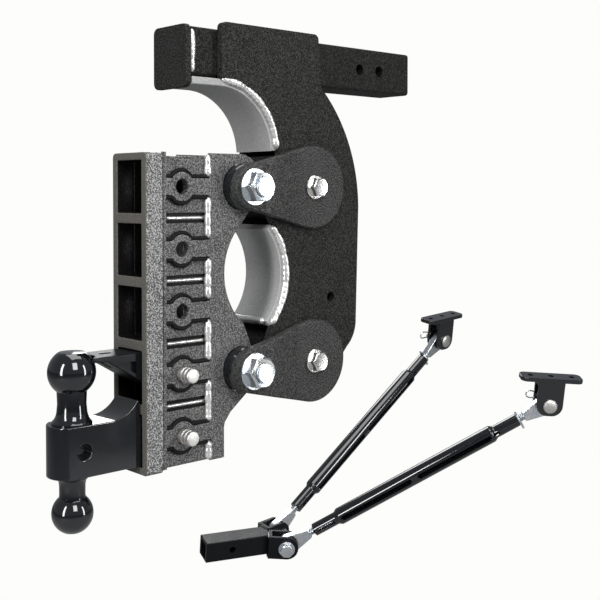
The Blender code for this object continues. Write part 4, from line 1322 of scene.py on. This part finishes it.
    def build_pivots(self) -> None:
        """The pivot sleeves, their through bolts and the nuts on the near side."""
        half, boss, bolt_radius, flats, washer = 51.4 * MM, 30 * MM, 12.7 * MM, 38 * MM, 24.5 * MM
        bore, seat = bolt_radius + GAP, 66 * MM + GAP
        round_edge = 2 * MM
        for word, z in self.pivots.items():
            centre = (self.pivot_x, z)
            ring = [(-half, bore), (-half, boss - round_edge), (-half + round_edge, boss),
                    (half - round_edge, boss), (half, boss - round_edge), (half, bore)]
            self.shop.stand_in(f"{word}_pivot_sleeve", turned(ring, centre=centre, closed=True),
                               Finishes.gloss, self.body)
            rows = [(-86 * MM, 0), (-86 * MM, bolt_radius), (seat, bolt_radius), (seat, washer),
                    (seat + 3 * MM, washer)]
            rows += hex_rows(seat + 3 * MM, seat + 19.5 * MM, flats) + [(seat + 19.5 * MM, 0)]
            thread = threaded(-90 * MM, -85 * MM, bolt_radius - 0.2 * MM, 3 * MM, Axis.Y, centre)
            self.shop.stand_in(f"{word}_pivot_bolt", turned(rows, centre=centre) + thread, Finishes.zinc,
                               self.body)
            rows = [(-seat, bore), (-seat, washer), (-seat - 2.4 * MM, washer),
                    (-seat - 3 * MM, washer - 0.6 * MM)]
            rows += hex_rows(-seat - 3 * MM, -seat - 20 * MM, flats)
            rows += [(-seat - 19.4 * MM, bore + 1.2 * MM), (-seat - 18 * MM, bore)]
            self.shop.stand_in(f"{word}_pivot_nut", turned(rows, centre=centre, closed=True), Finishes.zinc,
                               self.body)

    def ball(self, z: float, radius: float, low: float, high: float) -> list[tuple[float, float]]:
        """Profile of a ball between two heights: radius cos t at height z + radius sin t.

        Args:
            z: height of the ball's middle.
            radius: its radius.
            low: height of the first row.
            high: height of the last row.

        Returns:
            Rows for a turned profile.
        """
        start, stop = math.asin((low - z) / radius), math.asin((high - z) / radius)
        turn = np.linspace(start, stop, 40)
        return list(zip(z + radius * np.sin(turn), radius * np.cos(turn)))

    def build_mount(self) -> None:
        """The ball mount with its two balls."""
        low, high = 8.3 * MM, 71.7 * MM
        half, nose, rise = 25.4 * MM, 31 * MM, 43 * MM
        front = self.ball_x - nose - 5 * MM
        shoulder = arc(-42 * MM, high + rise, rise, -90, -31, 24)
        outline = np.vstack([[(front, low), (100 * MM, low), (100 * MM, high), (-1.5 * MM, high),
                              (-1.5 * MM, shoulder[-1][1])], shoulder[::-1], [(front, high)]])
        flank = math.degrees(math.asin(half / nose))
        plan = np.vstack([arc(self.ball_x, 0, nose, 180 - flank, 180 + flank, 40),
                          [(120 * MM, -half), (120 * MM, half)]])
        tools = [("INTERSECT", plate(plan, -20 * MM, 130 * MM, Axis.Z, 0.05 * MM, steps=1)),
                 ("DIFFERENCE", bar_tool(self.pin_x, self.pin_z(0), self.pin_hole, -40 * MM, 40 * MM)),
                 ("DIFFERENCE", bar_tool(-80 * MM, self.pin_z(0), 10 * MM, -40 * MM, 40 * MM))]
        slab = plate(outline, -40 * MM, 40 * MM, Axis.Y, 0.05 * MM, steps=1)
        item = self.shop.stand_in("ball_mount_body", slab, Finishes.gloss, self.body, tools=tools)
        edges = item.modifiers.new("edges", "BEVEL")
        edges.width, edges.segments = 1.3 * MM, 3
        edges.limit_method, edges.angle_limit = "ANGLE", math.radians(50)
        item.modifiers.move(1, 0)
        base = high + GAP
        profile = [(base, 0), (base, 25 * MM), (base + 1.6 * MM, 25 * MM), (base + 5 * MM, 21.6 * MM),
                   (base + 9 * MM, 19.6 * MM), (base + 13 * MM, 18.6 * MM), (base + 24 * MM, 17.6 * MM)]
        top = self.ball(134 * MM, 29.37 * MM, 111 * MM, 158.6 * MM)
        self.shop.stand_in("upper_ball", turned(profile + top + [(158.6 * MM, 0)], Axis.Z, (self.ball_x, 0)),
                           Finishes.gloss, self.body)
        foot = low - GAP
        under = self.ball(-38.5 * MM, 25.4 * MM, -61.5 * MM, -19 * MM)
        neck = [(-15 * MM, 15.8 * MM), (-4 * MM, 15.9 * MM), (2 * MM, 16.8 * MM), (5 * MM, 19.5 * MM)]
        profile = [(under[0][0], 0)] + under + neck + [(foot, 19.5 * MM), (foot, 0)]
        self.shop.stand_in("lower_ball", turned(profile, Axis.Z, (self.ball_x, 0)), Finishes.gloss, self.body)

    def build_lock(self) -> None:
        """The pintle lock over the ball mount."""
        half, top = 25.4 * MM, 152 * MM
        outline = MM * np.array([(-68, 146), (-48, 145), (6, 113), (20, 105), (100, 105), (100, 152),
                                 (-68, 152)])
        slot = rounded((-45 * MM, -27 * MM), (-4.5 * MM, 4.5 * MM), 4.4 * MM)
        web = fillet([(-34 * MM, 142 * MM), (-6 * MM, 125.5 * MM), (-6 * MM, 142 * MM)], 2 * MM)
        tools = [("DIFFERENCE", bar_tool(self.ball_x, 0, 28.3 * MM, 100 * MM, 170 * MM, Axis.Z)),
                 ("DIFFERENCE", plate(slot, 110 * MM, top + 10 * MM, Axis.Z, 0.05 * MM, steps=1)),
                 ("DIFFERENCE", bar_tool(self.pin_x, self.pin_z(1), self.pin_hole, -40 * MM, 40 * MM))]
        for side in (-1, 1):
            reach = sorted((side * (half - 5 * MM), side * 40 * MM))
            tools.append(("DIFFERENCE", plate(web, *reach, Axis.Y, 0.05 * MM, steps=1)))
        self.shop.stand_in("pintle_lock", plate(outline, -half, half, Axis.Y, 1.3 * MM), Finishes.satin,
                           self.body, tools=tools)

    def build_pins(self) -> None:
        """The two hitch pins: ring grooves at the near end, a round head at the far one."""
        radius, groove, head = 9.5 * MM, 7.9 * MM, 39.1 * MM
        rows = [(-61 * MM, 0), (-61 * MM, 7.9 * MM), (-60.4 * MM, 8.8 * MM), (-59.4 * MM, radius),
                (-56 * MM, radius)]
        for start in (-54.8 * MM, -47.4 * MM):
            rows += [(start - 0.4 * MM, radius), (start, groove), (start + 1.4 * MM, groove),
                     (start + 2.2 * MM, radius)]
        rows += [(head, radius), (head, 14 * MM), (head + 1 * MM, 15 * MM), (head + 6 * MM, 15 * MM),
                 (head + 8 * MM, 13 * MM), (head + 8 * MM, 0)]
        for index, word in enumerate(("lower", "upper")):
            self.shop.stand_in(f"{word}_hitch_pin", turned(rows), Finishes.bright, f"{word}_pin",
                               self.shop.bench.moved(x=self.pin_x, z=self.pin_z(index)))

    def build(self) -> None:
        """Build the whole receiver."""
        self.build_collar()
        self.build_box()
        self.build_ladders()
        self.build_pivots()
        self.build_mount()
        self.build_lock()
        self.build_pins()


# --------------------------------------------------------------------------- arm kit

@dataclass
class ArmKit:
    """The V of two turnbuckle arms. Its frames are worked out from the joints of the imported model."""

    shop: Workshop
    clevis_back: float = 58 * MM
    clevis_pivot: float = 104 * MM
    arm_length: float = 740 * MM
    ear: tuple[float, float] = (13 * MM, 20.5 * MM)
    eye: tuple[float, float] = (26 * MM, 9 * MM)
    stud: float = 9.5 * MM
    tube: tuple[float, float] = (80 * MM, 656 * MM)
    tube_slots: tuple[tuple[float, float, float], ...] = (
        (92 * MM, 138 * MM, 4.4 * MM), (156 * MM, 356 * MM, 6.2 * MM), (372 * MM, 580 * MM, 6.2 * MM),
        (585 * MM, 603 * MM, 6.2 * MM))
    bolt: float = 9.5 * MM
    insert: float = 50.8 * MM
    bracket_top: float = 70 * MM

    def joint_place(self, pitch: str, along: str, flip: int = 1) -> Place:
        """A frame at one joint's point, with X along a second joint's axis and Y against the first one's.

        Args:
            pitch: name of the first joint.
            along: name of the second joint.
            flip: -1 to turn X round.

        Returns:
            The frame.
        """
        first, second = self.shop.joints[pitch], self.shop.joints[along]
        x, y = flip * np.array(second["axis"], float), -np.array(first["axis"], float)
        x, y = x / np.linalg.norm(x), y / np.linalg.norm(y)
        return Place(np.array(first["pos_m"], float), np.stack([x, y, np.cross(x, y)], -1))

    def build_insert(self, clevises: dict[str, Place]) -> None:
        """The hollow square insert, pointed where the two clevises meet it, with their weld beads.

        Args:
            clevises: the frame of each clevis.
        """
        x = sum(place.axes[:, 0] for place in clevises.values())
        x /= np.linalg.norm(x)
        near = clevises["near"]
        z = near.axes[:, 2]
        place = Place(near.origin, np.stack([x, np.cross(z, x), z], -1))
        angle = math.acos(float(near.axes[:, 0] @ x))
        half, start, reach = self.insert / 2, -110 * MM, self.clevis_back - GAP
        apex = reach / math.cos(angle)
        shoulder = (reach - half * math.sin(angle)) / math.cos(angle)
        plan = np.array([(start, -half), (shoulder, -half), (apex, 0), (shoulder, half), (start, half)])
        inner = half - 6.4 * MM
        hollow = rounded((-inner, inner), (-inner, inner), 3 * MM)
        tools = [("DIFFERENCE", plate(hollow, start - 5 * MM, 34 * MM, Axis.X, 0.05 * MM, steps=1)),
                 ("DIFFERENCE", bar_tool(-42 * MM, 0, 8.2 * MM, -40 * MM, 40 * MM))]
        self.shop.stand_in("kit_insert_tube", plate(plan, -half, half, Axis.Z, 2.6 * MM), Finishes.satin,
                           "kit_base", place, tools)
        for word, frame_place in clevises.items():
            for level, z_level in (("top", half - 1 * MM), ("foot", 1 * MM - half)):
                route = route_of(reach, np.linspace(-18 * MM, 18 * MM, 24), z_level)
                self.shop.piece(f"{word}_clevis_{level}_bead", weld_bead(route, 3 * MM, (0, 0, 1), 71),
                                Finishes.gloss, "kit_base", frame_place)

    def build_clevis(self, word: str, outward_side: int, place: Place) -> None:
        """A clevis, its bolt and its nut.

        Args:
            word: which arm it is on.
            outward_side: side of the bolt's head, -1 or 1.
            place: the clevis's frame.
        """
        inner, outer = self.ear
        radius, pivot, back = 29 * MM, self.clevis_pivot, self.clevis_back
        outline = np.vstack([[(back, -radius)], arc(pivot, 0, radius, -90, 90, 40), [(back, radius)]])
        mouth = block((back + 8 * MM, pivot + 2 * radius), (-inner, inner), (-60 * MM, 60 * MM))
        tools = [("DIFFERENCE", mouth),
                 ("DIFFERENCE", bar_tool(pivot, 0, self.bolt + GAP, -40 * MM, 40 * MM))]
        self.shop.stand_in(f"{word}_clevis", plate(outline, -outer, outer, Axis.Y, 1.4 * MM), Finishes.satin,
                           "kit_base", place, tools)
        seat, flats, bore = outer + GAP, 30 * MM, self.bolt + GAP
        rows = [(-32 * MM, 0), (-32 * MM, self.bolt - MM), (-31 * MM, self.bolt), (seat, self.bolt),
                (seat, 20.5 * MM), (seat + 3 * MM, 20.2 * MM)]
        rows += hex_rows(seat + 3 * MM, seat + 15.5 * MM, flats) + [(seat + 15.5 * MM, 0)]
        self.shop.stand_in(f"{word}_clevis_bolt",
                           turned([(outward_side * r[0], *r[1:]) for r in rows], centre=(pivot, 0)),
                           Finishes.zinc, "kit_base", place)
        rows = [(seat, bore)] + hex_rows(seat, seat + 8.7 * MM, flats) + [(seat + 8.7 * MM, bore)]
        shell = turned([(-outward_side * r[0], *r[1:]) for r in rows], centre=(pivot, 0), closed=True)
        self.shop.stand_in(f"{word}_clevis_nut", shell, Finishes.zinc, "kit_base", place)

    def build_rod_end(self, node: str, body: str, place: Place, bore: float, toward: int) -> None:
        """A forged eye with a tapered web and a threaded stud.

        Args:
            node: the CAD node that it stands for.
            body: the body that it rides on.
            place: frame at the middle of the eye.
            bore: radius of the hole.
            toward: 1 or -1, the way that the stud points along X.
        """
        radius, half = self.eye
        neck, neck_x = 12 * MM, 64 * MM
        lean = math.degrees(math.asin((radius - neck) / neck_x))
        outline = np.vstack([arc(0, 0, radius, 90 - lean, 270 + lean, 48),
                             [(neck_x, -neck), (neck_x + 4 * MM, -neck + 3 * MM),
                              (neck_x + 4 * MM, neck - 3 * MM), (neck_x, neck)]])
        eye = plate(outline * [toward, 1], -half, half, Axis.Y, 2.2 * MM)
        low, high = sorted((toward * 56 * MM, toward * 142 * MM))
        stud = threaded(low, high, self.stud - 0.1 * MM, 5.08 * MM, Axis.X)
        tools = [("DIFFERENCE", bar_tool(0, 0, bore, -30 * MM, 30 * MM))]
        self.shop.stand_in(node, eye, Finishes.zinc, body, place, tools)
        self.shop.piece(f"{node}_stud", stud, Finishes.zinc, body, place)

    def build_tube(self, word: str, place: Place) -> None:
        """The turnbuckle tube: slim threaded ends, a wide middle and long slots through it.

        Args:
            word: which arm it is on.
            place: frame at the lower eye.
        """
        start, stop = self.tube
        slim, wide, bore, shift = 15.6 * MM, 21 * MM, 10 * MM, 12 * MM
        lower, upper = start + 62 * MM, stop - 62 * MM
        ease = np.linspace(0, 1, 8)
        swell = slim + (wide - slim) * ease * ease * (3 - 2 * ease)
        chamfer = 1.2 * MM
        outside = [(start, slim - chamfer), (start + chamfer, slim)]
        outside += list(zip(lower + shift * ease, swell))
        outside += list(zip(upper - shift * (1 - ease), swell[::-1]))
        outside += [(stop - chamfer, slim), (stop, slim - chamfer)]
        inside = [(stop, bore), (upper, bore), (upper - shift, 15 * MM), (lower + shift, 15 * MM),
                  (lower, bore), (start, bore)]
        tools = []
        for low, high, half in self.tube_slots:
            outline = rounded((low, high), (-half, half), half - 0.1 * MM, 6)
            tools.append(("DIFFERENCE", plate(outline, -30 * MM, 30 * MM, Axis.Y, 0.05 * MM, steps=1)))
        shell = turned(outside + inside, Axis.X, closed=True, segments=60)
        self.shop.stand_in(f"{word}_turnbuckle_tube", shell, Finishes.gloss, f"{word}_tube", place, tools)

    def build_lock_nut(self, word: str, place: Place) -> None:
        """The jam nut with its two handle tabs.

        Args:
            word: which arm it is on.
            place: frame at the lower eye.
        """
        hub, tab, reach = 15 * MM, 6 * MM, 25 * MM
        spread = math.degrees(math.asin(tab / hub))
        outline = np.vstack([arc(0, 0, hub, spread - 90, 90 - spread, 24), [(tab, reach), (-tab, reach)],
                             arc(0, 0, hub, 90 + spread, 270 - spread, 24), [(-tab, -reach), (tab, -reach)]])
        start = self.tube[1] + GAP
        bore = circle(0, 0, self.stud + 0.5 * MM)
        shell = plate(outline, start, start + 5.5 * MM, Axis.X, 0.9 * MM, (bore,))
        self.shop.stand_in(f"{word}_lock_nut", shell, Finishes.zinc, f"{word}_nut", place)

    def build_bracket(self, word: str, place: Place) -> None:
        """The bracket that bolts to the trailer frame, its domed pin and its hairpin clip.

        Args:
            word: which arm it is on.
            place: frame at the bracket's pin.
        """
        inner, outer = self.ear[0], self.ear[1] + 1 * MM
        length, width, thick = 152 * MM, 48 * MM, 10 * MM
        low, high = self.bracket_top - thick, self.bracket_top
        plan = rounded((-length / 2, length / 2), (-width / 2, width / 2), 15 * MM, 12)
        corner, ear = 26 * MM, 32 * MM
        outline = np.vstack([[(ear, low + 2 * MM)], arc(ear - corner, 0, corner, 0, -90, 16),
                             arc(corner - ear, 0, corner, -90, -180, 16), [(-ear, low + 2 * MM)]])
        tools = [("UNION", plate(outline, -outer, outer, Axis.Y, 1.4 * MM)),
                 ("DIFFERENCE", block((-60 * MM, 60 * MM), (-inner, inner), (-60 * MM, 48 * MM))),
                 ("DIFFERENCE", bar_tool(0, 0, self.bolt + GAP, -40 * MM, 40 * MM))]
        tools += [("DIFFERENCE", bar_tool(x, 0, 6.8 * MM, low - 12 * MM, high + 5 * MM, Axis.Z))
                  for x in (-51 * MM, 0, 51 * MM)]
        self.shop.stand_in(f"{word}_frame_bracket", plate(plan, low, high, Axis.Z, 1.4 * MM), Finishes.gloss,
                           f"{word}_bracket", place, tools)
        face, pin_end, clip_y, wire = outer + GAP, 44 * MM, 34 * MM, 1.7 * MM
        dome = np.linspace(0, math.pi / 2, 10)
        rows = [(-face - 3 * MM - 6 * MM * math.cos(t), 17.5 * MM * math.sin(t)) for t in dome]
        rows += [(-face - MM, 17.5 * MM), (-face, 16.5 * MM), (-face, self.bolt),
                 (pin_end - 2 * MM, self.bolt), (pin_end, 7.6 * MM), (pin_end, 0)]
        hole = [("DIFFERENCE", bar_tool(clip_y, 0, wire + 0.4 * MM, -20 * MM, 20 * MM, Axis.X))]
        self.shop.stand_in(f"{word}_bracket_pin", turned(rows), Finishes.bright, f"{word}_pin", place, hole)
        turn = np.radians(np.linspace(10, 180, 18))
        bow = np.stack([-38 - 9 * np.sin(turn), 9 - 9 * np.cos(turn)], -1)
        along = np.linspace(-30, 20, 40)
        spring = np.stack([along, 14.6 + 2.4 * np.cos((along + 30) / 50 * 2 * math.pi)], -1)
        straight = np.stack([np.linspace(18, -37, 24), np.zeros(24)], -1)
        flat = np.vstack([straight, bow, spring]) * MM
        route = route_of(flat[:, 0], clip_y, flat[:, 1])
        self.shop.stand_in(f"{word}_hairpin_clip", swept(route, np.full(len(route), wire), (0, 1, 0), 12),
                           Finishes.zinc, f"{word}_clip", place)

    def build(self) -> None:
        """Build the whole kit."""
        clevises = {}
        for word, outward_side in (("near", -1), ("far", 1)):
            arm = self.joint_place(f"{word}_arm_pitch", f"{word}_tube_spin")
            bracket = self.joint_place(f"{word}_bracket_tilt", f"{word}_clip_pull", flip=-1)
            level = Place(arm.origin, bracket.axes)
            clevises[word] = level.moved(x=-self.clevis_pivot)
            self.build_clevis(word, outward_side, clevises[word])
            self.build_rod_end(f"{word}_lower_rod_end", f"{word}_lower_eye", arm, 19.9 * MM, 1)
            turn = np.linspace(-0.69, 0.69, 24)
            swivel, half_wide = 19.5 * MM, 12.4 * MM
            ring = [(-half_wide, self.bolt + GAP)]
            ring += [(swivel * math.sin(t), swivel * math.cos(t)) for t in turn]
            ring += [(half_wide, self.bolt + GAP)]
            self.shop.stand_in(f"{word}_swivel_ball", turned(ring, closed=True), Finishes.zinc, "kit_base",
                               arm)
            self.build_tube(word, arm)
            self.build_lock_nut(word, arm)
            self.build_rod_end(f"{word}_upper_rod_end", f"{word}_upper_eye", arm.moved(x=self.arm_length),
                               self.bolt + GAP, -1)
            self.build_bracket(word, bracket)
        self.build_insert(clevises)


# ------------------------------------------------------------------------- studio

@dataclass
class Studio:
    """Pale floor, soft light and the camera.

    The floor lies 95 mm under the object at rest, because the near bracket dips 88 mm below that when
    every joint is at its lowest limit.
    """

    lens: float = 61.86
    camera_at: tuple[float, float, float] = (-1.2169, -1.1087, -0.1848)
    camera_turn: tuple[float, float, float] = (88.53, 0.0, -42.53)
    shift_y: float = -0.1333
    floor_drop: float = 95 * MM
    floor_half: float = 60.0
    backdrop: tuple[float, float, float, float] = (0.982, 0.982, 0.965, 1.0)

    def add_camera(self) -> None:
        """Place the camera."""
        data = bpy.data.cameras.new("camera")
        data.lens, data.sensor_width, data.shift_y = self.lens, 36.0, self.shift_y
        camera = bpy.data.objects.new("camera", data)
        camera.location = self.camera_at
        camera.rotation_euler = [math.radians(angle) for angle in self.camera_turn]
        bpy.context.scene.collection.objects.link(camera)
        bpy.context.scene.camera = camera

    def add_light(self, name: str, at: tuple[float, float, float], aim: tuple[float, float, float],
                  size: tuple[float, float], power: float) -> None:
        """Place a rectangular softbox that looks at a point.

        Args:
            name: its name.
            at: its place.
            aim: the point that it looks at.
            size: its width and height.
            power: its power in watts.
        """
        data = bpy.data.lights.new(name, "AREA")
        data.shape, data.size, data.size_y, data.energy = "RECTANGLE", *size, power
        light = bpy.data.objects.new(name, data)
        light.location = at
        light.rotation_euler = (Vector(aim) - Vector(at)).to_track_quat("-Z", "Y").to_euler()
        bpy.context.scene.collection.objects.link(light)

    def add_world(self) -> None:
        """A world that the camera sees as white and the metal sees as a dim grey studio."""
        world = bpy.data.worlds.new("studio")
        bpy.context.scene.world = world
        world.use_nodes = True
        tree = world.node_tree
        seen = add_node(tree, "ShaderNodeBackground", {"Color": self.backdrop, "Strength": 1.0})
        dim = add_node(tree, "ShaderNodeBackground", {"Color": (0.9, 0.95, 1.0, 1), "Strength": 0.26})
        ray = add_node(tree, "ShaderNodeLightPath")
        mix = add_node(tree, "ShaderNodeMixShader", {0: ray.outputs["Is Camera Ray"], 1: dim.outputs[0],
                                                     2: seen.outputs[0]})
        output = next(node for node in tree.nodes if node.type == "OUTPUT_WORLD")
        tree.links.new(mix.outputs[0], output.inputs["Surface"])

    def add_floor(self, lowest: float) -> None:
        """A pale floor, as white as the backdrop to the camera and dim to the metal.

        Args:
            lowest: lowest height of the object at rest.
        """
        half = self.floor_half
        corners = [(-half, -half, 0), (half, -half, 0), (half, half, 0), (-half, half, 0)]
        mesh = bpy.data.meshes.new("floor")
        mesh.from_pydata(corners, [], [(0, 1, 2, 3)])
        floor = bpy.data.objects.new("floor", mesh)
        floor.location = (0, 0, lowest - self.floor_drop)
        bpy.context.scene.collection.objects.link(floor)
        material = bpy.data.materials.new("floor")
        material.use_nodes = True
        tree = material.node_tree
        glow = add_node(tree, "ShaderNodeEmission", {"Color": self.backdrop, "Strength": 1.0})
        matt = add_node(tree, "ShaderNodeBsdfDiffuse", {"Color": (0.3, 0.3, 0.3, 1)})
        ray = add_node(tree, "ShaderNodeLightPath")
        mix = add_node(tree, "ShaderNodeMixShader", {0: ray.outputs["Is Camera Ray"], 1: matt.outputs[0],
                                                     2: glow.outputs[0]})
        tree.links.new(mix.outputs[0], tree.nodes["Material Output"].inputs["Surface"])
        mesh.materials.append(material)
        floor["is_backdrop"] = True

    def build(self, lowest: float) -> None:
        """Build the studio over the lowest height of the object."""
        bpy.context.scene.view_settings.view_transform = "Standard"
        self.add_camera()
        self.add_world()
        self.add_floor(lowest)
        middle = (-0.3, 0.0, -0.2)
        self.add_light("key", (-1.0, -2.2, 1.2), middle, (1.0, 1.6), 55)
        self.add_light("left_strip", (-2.6, -0.4, 0.3), middle, (0.35, 2.0), 45)
        self.add_light("right_strip", (1.0, -2.2, 0.1), middle, (0.35, 2.0), 35)
        self.add_light("top", (0.0, 0.0, 2.4), middle, (2.2, 2.2), 60)
        self.add_light("back", (1.5, 2.4, 1.0), middle, (1.2, 1.6), 35)


def main() -> None:
    """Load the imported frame, build each sub-assembly and finish."""
    logging.basicConfig(level=logging.INFO, format="%(name)s: %(message)s")
    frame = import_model()
    cad_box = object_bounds()
    shop = Workshop(frame)
    Studio().build(cad_box[0].z)
    WeldedFrame(shop).build()
    SuspensionArms(shop).build()
    Receiver(shop).build()
    ArmKit(shop).build()


if __name__ == "__main__":
    main()
